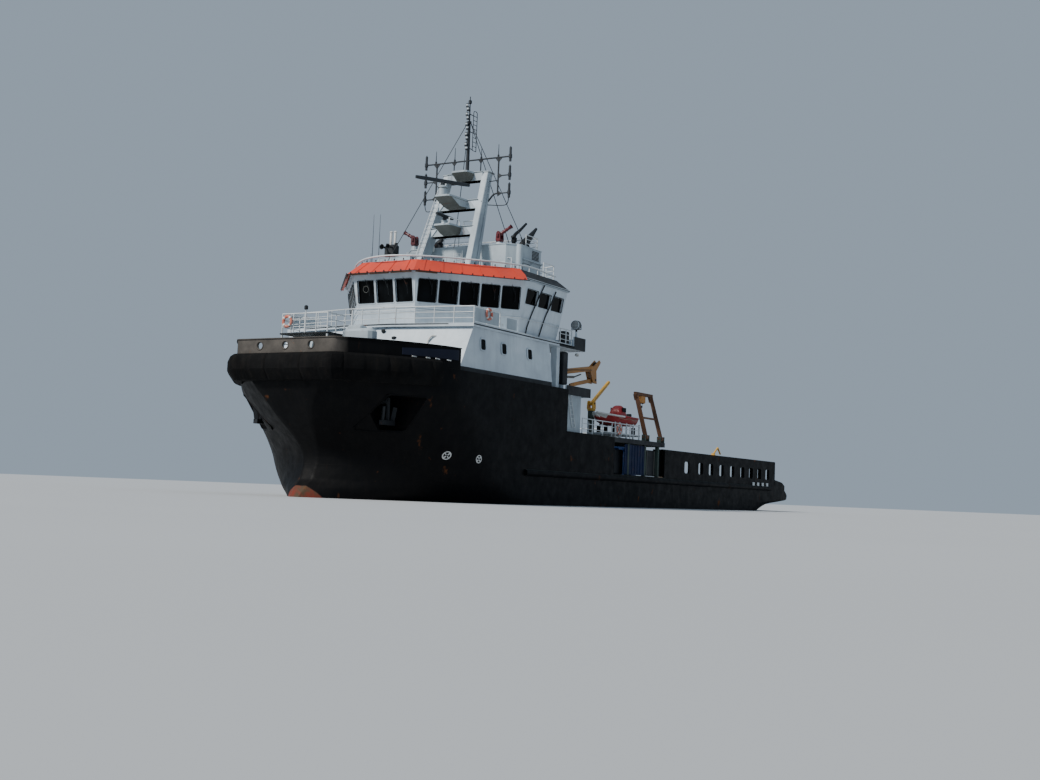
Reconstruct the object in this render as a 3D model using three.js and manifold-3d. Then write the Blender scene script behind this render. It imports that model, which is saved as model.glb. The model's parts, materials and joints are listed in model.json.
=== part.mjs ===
// Anchor-handling tug, 62 m long, as a 1:10 scale model in millimetres.
// Every dimension below is the full-size ship's, in metres. The group is scaled at the end.
// +X runs to the bow, +Y to port, +Z up. The origin is amidships, on the centreline, at the waterline.
import * as THREE from 'three';
import { mergeVertices } from 'three/addons/utils/BufferGeometryUtils.js';
import Module from 'manifold-3d';

const wasm = await Module();
wasm.setup();

// Scale: one real metre is this many millimetres in the model
const MODEL_MM_PER_METRE = 100;
// The gap between pieces that touch, and the room left round pieces that move
const GAP = 0.003;
const CLEAR = 0.06;

// Hull
const HALF_BEAM = 7.45;
const FRONT = 30.2;
const MAIN_DECK = 2.3;
const BOAT_DECK = 4.86;
const FORE_DECK = 7.6;
const ENGINE_BULKHEAD = 3.9;
const FORE_STEP = 10.8;
const BULWARK_TOP = 8.85;
const BULWARK_THICK = 0.12;
const BULWARK_AFT = 23.5;

// Superstructure
const BRIDGE_DECK = 10.56;
const BRIDGE_SLAB = 0.2;
const SILL = 12.14;
const WINDOW_TOP = 13.53;
const WALL_TOP = 14.0;
const ROOF_TOP = 14.75;
const CASING_TOP = 17.0;
const WALL = 0.12;
const GLASS = 0.04;

// Mast
const MAST_FOOT_X = 14.95;
const MAST_FOOT_Y = 2.1;
const MAST_HEAD_X = 12.5;
const MAST_HEAD_Y = 1.55;
const MAST_HEAD = 22.15;
const TOPMAST_TOP = 27.5;
const YARD_HEIGHT = 23.05;

// Aft end
const BOAT_DECK_AFT = -4.45;
const RAIL_TOP = 4.4;
const RAIL_AFT = -28.1;

// Propulsion
const SHAFT_Y = 3.6;
const SHAFT_Z = -2.3;
const PROPELLER_X = -24.3;
const PROPELLER_R = 1.38;
const NOZZLE_R = 1.46;
const RUDDER_X = -26.0;
const TUNNEL_XS = [24.6, 21.3];
const TUNNEL_Z = -2.4;
const TUNNEL_R = 0.75;

// Solids and booleans

function toSolid(geometry) {
  const bare = geometry.index ? geometry.toNonIndexed() : geometry.clone();
  bare.deleteAttribute('normal');
  bare.deleteAttribute('uv');
  const merged = mergeVertices(bare, 1e-5);
  return new wasm.Manifold(new wasm.Mesh({
    numProp: 3,
    vertProperties: new Float32Array(merged.attributes.position.array),
    triVerts: new Uint32Array(merged.index.array),
  }));
}

function toGeometry(solid) {
  const mesh = solid.getMesh();
  const geometry = new THREE.BufferGeometry();
  geometry.setAttribute('position', new THREE.BufferAttribute(new Float32Array(mesh.vertProperties), 3));
  geometry.setIndex(new THREE.BufferAttribute(new Uint32Array(mesh.triVerts), 1));
  return geometry;
}

function join(...solids) {
  return solids.flat().reduce((whole, solid) => whole.add(solid));
}

function cut(solid, ...tools) {
  return solid.subtract(join(...tools));
}

// A box between two x, two y and two z values
function box(x0, x1, y0, y1, z0, z1) {
  const geometry = new THREE.BoxGeometry(Math.abs(x1 - x0), Math.abs(y1 - y0), Math.abs(z1 - z0));
  geometry.translate((x0 + x1) / 2, (y0 + y1) / 2, (z0 + z1) / 2);
  return toSolid(geometry);
}

// A bar of rectangular section from p to q: wide is its size across, deep its size up and down
function bar(p, q, wide, deep = wide) {
  const from = new THREE.Vector3(...p);
  const to = new THREE.Vector3(...q);
  const along = to.clone().sub(from);
  const geometry = new THREE.BoxGeometry(along.length(), wide, deep);
  const ahead = along.clone().normalize();
  const upright = Math.abs(ahead.z) > 0.99;
  const level = upright ? new THREE.Vector3(1, 0, 0) : new THREE.Vector3(0, 0, 1);
  const side = new THREE.Vector3().crossVectors(level, ahead).normalize();
  const up = new THREE.Vector3().crossVectors(ahead, side);
  geometry.applyMatrix4(new THREE.Matrix4().makeBasis(ahead, side, up));
  geometry.translate(...from.add(to).multiplyScalar(0.5).toArray());
  return toSolid(geometry);
}

// A round bar or cone from p to q
function rod(p, q, radius, sides = 8, endRadius = radius) {
  const from = new THREE.Vector3(...p);
  const to = new THREE.Vector3(...q);
  const along = to.clone().sub(from);
  const geometry = new THREE.CylinderGeometry(endRadius, radius, along.length(), sides);
  const ahead = along.clone().normalize();
  geometry.applyQuaternion(new THREE.Quaternion().setFromUnitVectors(new THREE.Vector3(0, 1, 0), ahead));
  geometry.translate(...from.add(to).multiplyScalar(0.5).toArray());
  return toSolid(geometry);
}

// A round piece turned about the line from p along axis: profile is [distance along, radius] pairs
function turned(p, axis, profile, sides = 16) {
  const points = profile.map(([along, radius]) => new THREE.Vector2(radius, along));
  const geometry = new THREE.LatheGeometry(points, sides);
  const ahead = new THREE.Vector3(...axis).normalize();
  const turn = new THREE.Quaternion().setFromUnitVectors(new THREE.Vector3(0, 1, 0), ahead);
  geometry.applyQuaternion(turn);
  geometry.translate(...p);
  const solid = toSolid(geometry);
  return solid.volume() < 0 ? toSolid(flipped(geometry)) : solid;
}

function flipped(geometry) {
  const copy = geometry.index ? geometry.toNonIndexed() : geometry.clone();
  const p = copy.attributes.position;
  for (let i = 0; i < p.count; i += 3) {
    const a = [p.getX(i + 1), p.getY(i + 1), p.getZ(i + 1)];
    p.setXYZ(i + 1, p.getX(i + 2), p.getY(i + 2), p.getZ(i + 2));
    p.setXYZ(i + 2, ...a);
  }
  return copy;
}

// An outline drawn in two axes and extruded along the third
function slab(points, low, high, plane = 'xy') {
  const shape = new THREE.Shape(points.map(([a, b]) => new THREE.Vector2(a, b)));
  const geometry = new THREE.ExtrudeGeometry(shape, { depth: high - low, bevelEnabled: false });
  geometry.translate(0, 0, low);
  if (plane === 'xz') geometry.rotateX(Math.PI / 2);
  return toSolid(geometry);
}

// A solid through outlines stacked upwards: each ring is {z, points}, all with as many points
function loft(rings) {
  const count = rings[0].points.length;
  const positions = rings.flatMap(({ z, points }) => points.flatMap(([x, y]) => [x, y, z]));
  const index = [];
  for (let level = 0; level + 1 < rings.length; level += 1) {
    for (let i = 0; i < count; i += 1) {
      const a = level * count + i;
      const b = level * count + (i + 1) % count;
      index.push(a, b, b + count, a, b + count, a + count);
    }
  }
  const flat = (points) => points.map(([x, y]) => new THREE.Vector2(x, y));
  const cap = ({ points }) => THREE.ShapeUtils.triangulateShape(flat(points), []);
  const top = (rings.length - 1) * count;
  for (const [a, b, c] of cap(rings[0])) index.push(a, c, b);
  for (const [a, b, c] of cap(rings[rings.length - 1])) index.push(top + a, top + b, top + c);
  const geometry = new THREE.BufferGeometry();
  geometry.setAttribute('position', new THREE.Float32BufferAttribute(positions, 3));
  geometry.setIndex(index);
  return toSolid(geometry);
}

// The same outline moved inwards by a distance, or outwards where the distance is negative.
// The outline runs anticlockwise, and each corner is where its two moved edges meet.
function inset(points, distance) {
  return points.map((corner, i) => {
    const before = points[(i + points.length - 1) % points.length];
    const after = points[(i + 1) % points.length];
    const u = unit(before, corner);
    const v = unit(corner, after);
    const n = [-u[1] - v[1], u[0] + v[0]];
    const reach = distance / (0.5 * (n[0] * n[0] + n[1] * n[1]));
    return [corner[0] + n[0] * reach, corner[1] + n[1] * reach];
  });
}

// A rectangle's corners, anticlockwise
function rectangle(x0, x1, y0, y1) {
  return [[x0, y0], [x1, y0], [x1, y1], [x0, y1]];
}

function unit(p, q) {
  const length = Math.hypot(q[0] - p[0], q[1] - p[1]);
  return [(q[0] - p[0]) / length, (q[1] - p[1]) / length];
}

// The port half of an outline, from aft to forward, closed by its mirror image
function bothSides(portHalf) {
  const starboard = portHalf.map(([x, y]) => [x, -y]);
  return [...starboard, ...portHalf.slice().reverse()];
}

// The group and its named meshes

const group = new THREE.Group();

const PAINT = {
  hullBlack: { color: 0x0d0f12, roughness: 0.6, metalness: 0.2 },
  fenderBlack: { color: 0x15181a, roughness: 0.9, metalness: 0 },
  houseWhite: { color: 0xcfd8de, roughness: 0.5, metalness: 0.1 },
  mastGrey: { color: 0x9fb0b8, roughness: 0.55, metalness: 0.1 },
  visorOrange: { color: 0xd8452a, roughness: 0.5, metalness: 0.1 },
  deckGreen: { color: 0x3d4d47, roughness: 0.8, metalness: 0 },
  glass: { color: 0x0a141c, roughness: 0.08, metalness: 0.1 },
  darkSteel: { color: 0x24292d, roughness: 0.6, metalness: 0.5 },
  bronze: { color: 0xa87b3d, roughness: 0.35, metalness: 0.9 },
  monitorRed: { color: 0xa8161c, roughness: 0.45, metalness: 0.1 },
  craneYellow: { color: 0xd9a520, roughness: 0.5, metalness: 0.1 },
  davitOrange: { color: 0xd07a1e, roughness: 0.5, metalness: 0.1 },
  rustBrown: { color: 0x7a4a2e, roughness: 0.8, metalness: 0.3 },
  boatRed: { color: 0xb3242a, roughness: 0.5, metalness: 0 },
  winchBlue: { color: 0x1f4fa0, roughness: 0.5, metalness: 0.2 },
  timber: { color: 0x6e5a45, roughness: 0.9, metalness: 0 },
  railWhite: { color: 0xd8dde0, roughness: 0.5, metalness: 0.1 },
  antennaDark: { color: 0x30363b, roughness: 0.6, metalness: 0.3 },
};

function add(name, solid, paint) {
  const mesh = new THREE.Mesh(toGeometry(solid), new THREE.MeshStandardMaterial({ ...PAINT[paint] }));
  mesh.name = name;
  group.add(mesh);
}

// Hull
// Waterlines from the keel up. The stern runs from aftHalf wide at aft to the full beam at run. The bow
// runs from the full beam at shoulder to a flat front frontHalf wide at front, along a curve of this power.
const STERN = [-32.3, 7.1, -28.7];
const WATERLINES = [
  // z, stern [aft, aftHalf, run], half beam, bow [shoulder, front, frontHalf, power]
  [-4.1, [-13.0, 0.8, -4.0], 5.4, [6.0, 24.0, 0.3, 1.5]],
  [-3.8, [-14.5, 1.2, -6.0], 6.7, [7.5, 28.0, 0.4, 1.6]],
  [-3.2, [-16.8, 2.6, -9.0], 7.3, [9.0, 29.6, 0.5, 1.7]],
  [-2.2, [-19.5, 4.4, -12.5], HALF_BEAM, [11.0, 30.2, 0.5, 1.8]],
  [-1.2, [-22.0, 5.8, -16.0], HALF_BEAM, [12.0, 29.9, 0.4, 1.85]],
  [-0.3, [-24.2, 6.8, -19.0], HALF_BEAM, [14.0, 29.0, 0.3, 1.9]],
  [0.6, [-27.2, 6.9, -22.0], HALF_BEAM, [16.0, 28.3, 0.35, 2.5]],
  [1.1, [-32.1, 7.1, -28.2], HALF_BEAM, [17.3, 27.8, 0.4, 2.7]],
  [MAIN_DECK, STERN, HALF_BEAM, [18.5, 27.5, 0.5, 3]],
  [BOAT_DECK, STERN, HALF_BEAM, [21.0, 29.3, 1.4, 2.5]],
  [6.2, STERN, HALF_BEAM, [22.5, 29.9, 2.3, 2.5]],
  [FORE_DECK, STERN, HALF_BEAM, [22.5, FRONT, 3.5, 2]],
];
const STERN_STEPS = 4;
const BOW_STEPS = 10;

function waterline([, [aft, aftHalf, run], half, [shoulder, front, frontHalf, power]]) {
  const side = [];
  for (let i = 0; i <= STERN_STEPS; i += 1) {
    const turn = (i / STERN_STEPS) * (Math.PI / 2);
    side.push([run - (run - aft) * Math.cos(turn), aftHalf + (half - aftHalf) * Math.sin(turn)]);
  }
  for (let i = 0; i <= BOW_STEPS; i += 1) {
    const s = i / BOW_STEPS;
    side.push([shoulder + (front - shoulder) * s, frontHalf + (half - frontHalf) * (1 - s ** power)]);
  }
  return bothSides(side);
}

const FAR = 60;
const rings = WATERLINES.map((line) => ({ z: line[0], points: waterline(line) }));
const deckLine = rings[rings.length - 1].points;
const lowerHull = loft(rings.filter(({ z }) => z <= MAIN_DECK));
const midHull = loft(rings.filter(({ z }) => z >= MAIN_DECK && z <= BOAT_DECK))
  .intersect(box(ENGINE_BULKHEAD, FAR, -FAR, FAR, MAIN_DECK - 1, FORE_DECK));
const foreHull = loft(rings.filter(({ z }) => z >= BOAT_DECK))
  .intersect(box(FORE_STEP, FAR, -FAR, FAR, MAIN_DECK, FORE_DECK + 1));

// A rubbing strake down each side, a shaft bossing and a rudder trunk on each side aft,
// and a pod on a strut in each thruster tunnel
const STRAKE_Z = 2.0;
const STRAKE_R = 0.2;
const strakes = [1, -1].map((side) => (
  rod([-27, side * HALF_BEAM, STRAKE_Z], [16, side * HALF_BEAM, STRAKE_Z], STRAKE_R, 8)));
const bossings = [1, -1].flatMap((side) => [
  rod([-15, side * SHAFT_Y, -2.0], [PROPELLER_X + 0.41, side * SHAFT_Y, SHAFT_Z], 0.45, 10, 0.3),
  bar([-22.6, side * SHAFT_Y, SHAFT_Z], [-22.6, side * SHAFT_Y, -0.4], 0.5, 0.16),
  rod([RUDDER_X, side * SHAFT_Y, -0.42], [RUDDER_X, side * SHAFT_Y, 1.0], 0.28, 10),
]);
const tunnels = TUNNEL_XS.map((x) => rod([x, -8, TUNNEL_Z], [x, 8, TUNNEL_Z], TUNNEL_R, 20));
const pods = TUNNEL_XS.flatMap((x) => [
  rod([x, -0.9, TUNNEL_Z], [x, -0.12, TUNNEL_Z], 0.16, 8),
  bar([x, -0.6, TUNNEL_Z], [x, -0.6, TUNNEL_Z + TUNNEL_R + 0.1], 0.1, 0.2),
]);

// The recess in each bow for the anchor
const ANCHOR_X = 26.6;
const ANCHOR_Z = 5.0;
const POCKET_Y = 4.1;
const pockets = [1, -1].map((side) => (
  box(ANCHOR_X - 0.9, ANCHOR_X + 0.9, side * POCKET_Y, side * 8, ANCHOR_Z - 1.0, ANCHOR_Z + 0.9)));
// The slot at the stern where the roller turns
const ROLLER_X = -31.4;
const ROLLER_Z = 1.15;
const ROLLER_R = 1.0;
const ROLLER_HALF = 2.7;
const rollerSlot = box(-34, ROLLER_X + ROLLER_R + 0.1, -ROLLER_HALF - 0.1, ROLLER_HALF + 0.1, -1, 4);
const EAR = { inner: ROLLER_HALF + 0.06, outer: ROLLER_HALF + 0.6 };
const PIN_X = -27.6;
const PIN_Y = 1.1;
const pinHoles = [1, -1].map((side) => (
  rod([PIN_X, side * PIN_Y, 0.9], [PIN_X, side * PIN_Y, MAIN_DECK + 1], 0.26, 12)));
// The deck's after edge slopes down to the roller
const SLOPE_START = -29.9;
const SLOPE_END = [-33.6, 0.8];
const sternSlope = slab([SLOPE_END, [SLOPE_START, MAIN_DECK], [SLOPE_START, 5], [-33.6, 5]], -9, 9, 'xz');
const rollerEars = [1, -1].map((side) => (
  box(ROLLER_X - 0.5, ROLLER_X + 1.3, side * EAR.inner, side * EAR.outer, 0.4, MAIN_DECK)));
const whole = join(lowerHull, midHull, foreHull, strakes, bossings);
const shell = cut(whole, tunnels, pockets, rollerSlot, pinHoles);
const hull = cut(shell.add(join(rollerEars, pods)), sternSlope);
add('hull', hull, 'hullBlack');

// Bow fender: a deep rubber belt round the blunt bow, cut away under its lower edge
const FENDER_AFT = 25.2;
const fenderRings = [
  { z: 6.5, points: inset(deckLine, -0.15) },
  { z: 6.95, points: inset(deckLine, -0.45) },
  { z: 7.1, points: inset(deckLine, -0.52) },
  { z: 7.55, points: inset(deckLine, -0.52) },
  { z: 7.85, points: inset(deckLine, -0.4) },
  { z: 8.0, points: inset(deckLine, -0.2) },
];
const hullSkin = loft([
  { z: 6.2, points: inset(rings[rings.length - 2].points, -GAP) },
  { z: FORE_DECK, points: inset(deckLine, -GAP) },
  { z: 9, points: inset(deckLine, -GAP) },
]);
const belt = loft(fenderRings).intersect(box(FENDER_AFT, FAR, -FAR, FAR, 0, 9));
add('bow_fender', belt.subtract(hullSkin), 'fenderBlack');

// Bow bulwark with three round fairleads through its flat front
const FAIRLEADS = [-1.85, 0, 1.85];
const FAIRLEAD_Z = 8.44;
const bulwark = loft([
  { z: FORE_DECK + GAP, points: deckLine },
  { z: BULWARK_TOP, points: deckLine },
]).subtract(loft([
  { z: FORE_DECK, points: inset(deckLine, BULWARK_THICK) },
  { z: BULWARK_TOP + 1, points: inset(deckLine, BULWARK_THICK) },
])).intersect(box(BULWARK_AFT, FAR, -FAR, FAR, 0, 12));
const fairleadRod = (aft, ahead, radius) => FAIRLEADS.map((y) => (
  rod([FRONT - aft, y, FAIRLEAD_Z], [FRONT + ahead, y, FAIRLEAD_Z], radius, 16)));
const fairleadRims = fairleadRod(0.22, 0.07, 0.28);
const fairleadHoles = fairleadRod(1, 1, 0.19);
add('bow_bulwark', cut(join(bulwark, fairleadRims), fairleadHoles), 'hullBlack');

// Anchors housed in their recesses: shank, crown and two flukes
for (const [name, side] of [['port', 1], ['starboard', -1]]) {
  const y = side * (POCKET_Y + 0.55);
  const low = ANCHOR_Z - 0.65;
  const flukeZ = ANCHOR_Z + 0.25;
  const shank = rod([ANCHOR_X, y, ANCHOR_Z + 0.75], [ANCHOR_X, y, low], 0.12, 8);
  const crown = bar([ANCHOR_X - 0.55, y, low], [ANCHOR_X + 0.55, y, low], 0.3, 0.26);
  const flukes = [-0.45, 0.45].map((dx) => (
    bar([ANCHOR_X + dx, y, low + 0.05], [ANCHOR_X + dx * 1.2, y + side * 0.12, flukeZ], 0.12, 0.24)));
  const rootZ = ANCHOR_Z + 0.6;
  const root = rod([ANCHOR_X, side * (POCKET_Y + GAP), rootZ], [ANCHOR_X, y, rootZ], 0.2, 8);
  add(`anchor_${name}`, join(shank, crown, flukes, root), 'darkSteel');
}

// A propeller's blade, as shares of its radius: across and outwards from the root
const BLADE = [
  [-0.16, 0], [0.16, 0], [0.42, 0.55], [0.4, 0.9], [0.2, 1], [-0.2, 1], [-0.4, 0.9], [-0.42, 0.55],
];
const BLADES = 4;

// A propeller about the Z axis, turned and moved to its place
function propeller(radius, hub, pitch, turn, place) {
  const root = hub * 0.6;
  const outline = BLADE.map(([a, b]) => new THREE.Vector2(a * radius, root + b * (radius - root)));
  const shape = new THREE.Shape(outline);
  const parts = [toSolid(new THREE.CylinderGeometry(hub, hub * 0.8, radius * 0.5, 12).rotateX(Math.PI / 2))];
  for (let i = 0; i < BLADES; i += 1) {
    const thick = radius * 0.05;
    const geometry = new THREE.ExtrudeGeometry(shape, { depth: thick, bevelEnabled: false });
    geometry.translate(0, 0, -thick / 2);
    geometry.rotateY(pitch);
    geometry.rotateZ((i / BLADES) * 2 * Math.PI);
    parts.push(toSolid(geometry));
  }
  return join(parts).rotate(turn).translate(place);
}

// The nozzle's section: distance along the shaft, and how far outside the inner radius
const NOZZLE = [[-0.75, 0], [-0.75, 0.06], [0.4, 0.22], [0.72, 0.2], [0.75, 0.06], [0.5, 0], [-0.75, 0]];
// The rudder's section: along from the stock, and to each side
const RUDDER = [[0.675, 0.16], [0.18, 0.2], [-1.215, 0.04]];
for (const [name, side] of [['port', 1], ['starboard', -1]]) {
  const y = side * SHAFT_Y;
  const centre = [PROPELLER_X, y, SHAFT_Z];
  add(`propeller_${name}`, propeller(PROPELLER_R, 0.3, side * 0.6, [0, 90, 0], centre), 'bronze');
  const ring = turned(centre, [1, 0, 0], NOZZLE.map(([along, out]) => [along, NOZZLE_R + out]), 24);
  const hangerLow = SHAFT_Z + NOZZLE_R + 0.08;
  const hanger = box(PROPELLER_X - 0.5, PROPELLER_X + 0.6, y - 0.12, y + 0.12, hangerLow, 0.5)
    .subtract(lowerHull.translate([0, 0, -GAP]));
  add(`nozzle_${name}`, join(ring, hanger), 'hullBlack');
  const upperHalf = [[0.495, 0.06], ...RUDDER];
  const lowerHalf = upperHalf.map(([a, b]) => [a, -b]).reverse();
  const blade = slab([...upperHalf, ...lowerHalf].map(([a, b]) => [RUDDER_X + a, y + b]), -3.85, -0.75);
  const stock = rod([RUDDER_X, y, -0.8], [RUDDER_X, y, -0.43], 0.16, 10);
  add(`rudder_${name}`, join(blade, stock), 'darkSteel');
}

for (const [i, x] of TUNNEL_XS.entries()) {
  const screw = propeller(TUNNEL_R - 0.06, 0.16, 0.5, [90, 0, 0], [x, 0.12, TUNNEL_Z]);
  add(`thruster_propeller_${i + 1}`, screw, 'bronze');
}

// Lower deckhouse: full width, its sides leaning in and its front raked back
const HOUSE_AFT = 12.7;
const houseFoot = bothSides([[HOUSE_AFT, 7.3], [23.3, 7.1], [24.2, 1.9]]);
const houseHead = bothSides([[HOUSE_AFT, 6.95], [21.7, 6.95], [22.6, 1.9]]);
add('deckhouse', loft([
  { z: FORE_DECK + GAP, points: houseFoot },
  { z: BRIDGE_DECK - BRIDGE_SLAB - GAP, points: houseHead },
]), 'houseWhite');

// Bridge deck with a wing reaching aft on each side, each ending in a solid breastwork
const WING_AFT = 8.1;
const wingPlan = bothSides([
  [WING_AFT + 1.6, 2.6], [WING_AFT, 3.2], [WING_AFT, 7.1], [21.9, 7.1], [22.85, 1.9],
]);
const slabLow = BRIDGE_DECK - BRIDGE_SLAB;
const wingSlab = slab(wingPlan, slabLow, BRIDGE_DECK);
const wingEnds = [1, -1].flatMap((side) => [
  box(WING_AFT, WING_AFT + 1.5, side * 6.98, side * 7.1, slabLow, BRIDGE_DECK + 0.65),
  box(WING_AFT, WING_AFT + 0.12, side * 4.6, side * 7.1, slabLow, BRIDGE_DECK + 0.65),
]);
const wingPillars = [1, -1].map((side) => (
  box(10.9, 11.3, side * 6.3, side * 6.75, FORE_DECK + GAP, slabLow + 0.02)));
// The searchlights' posts stand on the wings
const SEARCHLIGHT_X = 8.3;
const SEARCHLIGHT_Y = 6.5;
const SEARCHLIGHT_Z = BRIDGE_DECK + 1.15;
const searchlightPosts = [1, -1].map((side) => {
  const place = [SEARCHLIGHT_X, side * SEARCHLIGHT_Y];
  return rod([...place, BRIDGE_DECK - 0.05], [...place, SEARCHLIGHT_Z], 0.07, 8);
});
add('bridge_deck', join(wingSlab, wingEnds, wingPillars, searchlightPosts), 'houseWhite');

// Wheelhouse: an eight-sided house whose walls lean outwards all the way up
const HOUSE_AFT_X = 10.35;
const HOUSE_BASE = bothSides([[HOUSE_AFT_X, 4.4], [11.1, 6.45], [15.9, 6.45], [20.85, 2.1]]);
const LEAN = 0.17;
const HOUSE_BOTTOM = BRIDGE_DECK + GAP;

function wheelhouseRing(z, thickness = 0) {
  return { z, points: inset(HOUSE_BASE, thickness - LEAN * (z - BRIDGE_DECK)) };
}

function wheelhouseShell(low, high, outer, inner) {
  return loft([wheelhouseRing(low, outer), wheelhouseRing(high, outer)])
    .subtract(loft([wheelhouseRing(low - 0.5, inner), wheelhouseRing(high + 0.5, inner)]));
}

// Windows in each wall: from is the corner it starts at, count the windows in it, before and after
// the plain wall at its ends, between the wall left between two windows, sill where they begin
const SIDE_SILL = 12.6;
const corners = wheelhouseRing(SILL).points;
const WINDOW_WALLS = [
  // from, count, before, after, between, sill
  [0, 2, 0.25, 0.25, 0.26, SILL],
  [1, 3, 0.02, 0.2, 0.22, SIDE_SILL],
  [2, 5, 0.06, 0.06, 0.14, SILL],
  [3, 3, 0.04, 0.04, 0.18, SILL],
  [4, 5, 0.06, 0.06, 0.14, SILL],
  [5, 3, 0.2, 0.02, 0.22, SIDE_SILL],
  [6, 2, 0.25, 0.25, 0.26, SILL],
  [7, 5, 0.4, 0.4, 0.26, SILL],
];
const AFT_WALL = 7;
const DOOR_WINDOW = 2;
const windows = WINDOW_WALLS.flatMap(([from, count, before, after, between, sill]) => {
  const a = corners[from];
  const b = corners[(from + 1) % corners.length];
  const pitch = (Math.hypot(b[0] - a[0], b[1] - a[1]) - before - after) / count;
  const [ux, uy] = unit(a, b);
  return Array.from({ length: count }, (_, i) => {
    const s = before + pitch * (i + 0.5);
    const opening = new THREE.BoxGeometry(pitch - between, 1.4, WINDOW_TOP - sill);
    opening.rotateZ(Math.atan2(uy, ux));
    opening.translate(a[0] + ux * s + uy * WALL, a[1] + uy * s - ux * WALL, (sill + WINDOW_TOP) / 2);
    return toSolid(opening);
  }).filter((_, i) => from !== AFT_WALL || i !== DOOR_WINDOW);
});
// The door in the aft wall leans with it, hinged on its port edge
const DOOR = { half: 0.42, low: BRIDGE_DECK + 0.3, high: 12.75 };
function leaningPanel(half, low, high, outside, inside) {
  const wallX = (z) => HOUSE_AFT_X - LEAN * (z - BRIDGE_DECK);
  const outline = [
    [wallX(low) + outside, low], [wallX(low) + inside, low],
    [wallX(high) + inside, high], [wallX(high) + outside, high],
  ];
  return slab(outline, -half, half, 'xz');
}
const doorway = leaningPanel(DOOR.half, DOOR.low, DOOR.high, -0.5, 0.5);
const walls = cut(wheelhouseShell(HOUSE_BOTTOM, WALL_TOP, 0, WALL), windows, doorway);
add('wheelhouse_walls', walls, 'houseWhite');
const door = leaningPanel(DOOR.half - CLEAR, DOOR.low + CLEAR, DOOR.high - CLEAR, -0.03, 0.09);
add('wheelhouse_door', door, 'houseWhite');
const glazing = wheelhouseShell(SILL - 0.12, WINDOW_TOP + 0.12, WALL + GAP, WALL + GAP + GLASS);
const doorGap = leaningPanel(DOOR.half + 0.1, DOOR.low, WINDOW_TOP + 1, -0.5, 0.5);
add('wheelhouse_glazing', cut(glazing, doorGap), 'glass');

// The steering console and two chairs inside
const helmDesk = box(17.2, 18.3, -2.2, 2.2, HOUSE_BOTTOM, 11.6);
const chairs = [1, -1].flatMap((y) => [
  box(16.0, 16.6, y - 0.3, y + 0.3, HOUSE_BOTTOM, 11.15),
  box(15.95, 16.12, y - 0.3, y + 0.3, 11.1, 11.9),
]);
const floorPlate = box(15.5, 18.6, -2.4, 2.4, HOUSE_BOTTOM, HOUSE_BOTTOM + 0.05);
add('bridge_console', join(helmDesk, chairs, floorPlate), 'darkSteel');

// Roof with its sloping edge, and the sloping sun visor laid over the front and the oblique walls
const roofFoot = wheelhouseRing(WALL_TOP, -0.12).points;
const ROOF_SLOPE = 0.75;
const roof = loft([
  { z: WALL_TOP + GAP, points: roofFoot },
  { z: WALL_TOP + 0.12, points: roofFoot },
  { z: ROOF_TOP, points: inset(roofFoot, ROOF_SLOPE) },
]);
const casingPlan = bothSides([[10.0, 4.5], [12.7, 4.5], [13.4, 3.8]]);
const casing = loft([
  { z: ROOF_TOP - 0.1, points: casingPlan },
  { z: CASING_TOP, points: casingPlan },
]);
// Pedestals on the casing that carry the two fire monitors: the port one stands further in
const MONITOR_X = 12.85;
const MONITORS = [
  // name, y, height of the pedestal's top
  ['port', 2.95, 17.25],
  ['starboard', -3.95, 17.4],
];
const MONITOR_PIN = 0.5;
const pedestals = MONITORS.map(([, y, top]) => (
  rod([MONITOR_X, y, CASING_TOP - 0.05], [MONITOR_X, y, top], 0.3, 12, 0.2)));
add('wheelhouse_roof', join(roof, casing, pedestals), 'mastGrey');

const visorOuter = loft([
  { z: WALL_TOP - 0.08, points: wheelhouseRing(WALL_TOP, -0.42).points },
  { z: ROOF_TOP + 0.06, points: inset(roofFoot, ROOF_SLOPE - 0.02) },
]);
const visorInner = loft([
  { z: WALL_TOP - 0.5, points: inset(roofFoot, -GAP - 0.25) },
  { z: WALL_TOP + 0.12, points: inset(roofFoot, -GAP - 0.06) },
  { z: ROOF_TOP + 0.01, points: inset(roofFoot, ROOF_SLOPE - 0.02 - 0.05) },
  { z: ROOF_TOP + 0.5, points: inset(roofFoot, ROOF_SLOPE + 0.2) },
]);
// On each side the visor ends square to the oblique wall at its after corner, and inside that
// corner it ends on the roof's mitre
const [eaveFront, eaveBack] = wheelhouseRing(WALL_TOP).points.slice(4, 6);
const [eaveX, eaveY] = unit(eaveFront, eaveBack);
const visorEnd = [eaveBack[0] + eaveY * 4, eaveBack[1] - eaveX * 4];
const MITRE = 0.377;
const visorHalf = [[eaveBack[0] - eaveBack[1] * MITRE, 0], eaveBack, visorEnd, [FAR, FAR]];
const visorPlan = bothSides(visorHalf.slice(1));
visorPlan.unshift(visorHalf[0]);
const visorRoom = slab(visorPlan, 0, FAR);
add('sun_visor', visorOuter.subtract(visorInner).intersect(visorRoom), 'visorOrange');

// Exhausts raked aft from a plinth on the casing: a thin pipe, and beside it a thick one that
// narrows to its tip. reach is how far aft the tip stands, rise how far above the casing.
const EXHAUSTS = [
  // x, y, reach, rise, radius, tip radius
  [11.1, 3.0, 1.4, 2.0, 0.13, 0.09],
  [11.15, 3.75, 1.5, 1.75, 0.34, 0.1],
  [11.1, -3.0, 1.4, 2.0, 0.13, 0.09],
  [11.15, -3.75, 1.5, 1.75, 0.34, 0.1],
];
const pipes = EXHAUSTS.flatMap(([x, y, reach, rise, radius, tip]) => [
  rod([x, y, CASING_TOP + 0.1], [x, y, CASING_TOP + 0.6], radius, 10),
  rod([x + 0.05, y, CASING_TOP + 0.45], [x - reach, y, CASING_TOP + rise], radius, 10, tip),
]);
const plinth = box(10.6, 11.48, -4.08, 4.08, CASING_TOP + GAP, CASING_TOP + 0.15);
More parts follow.
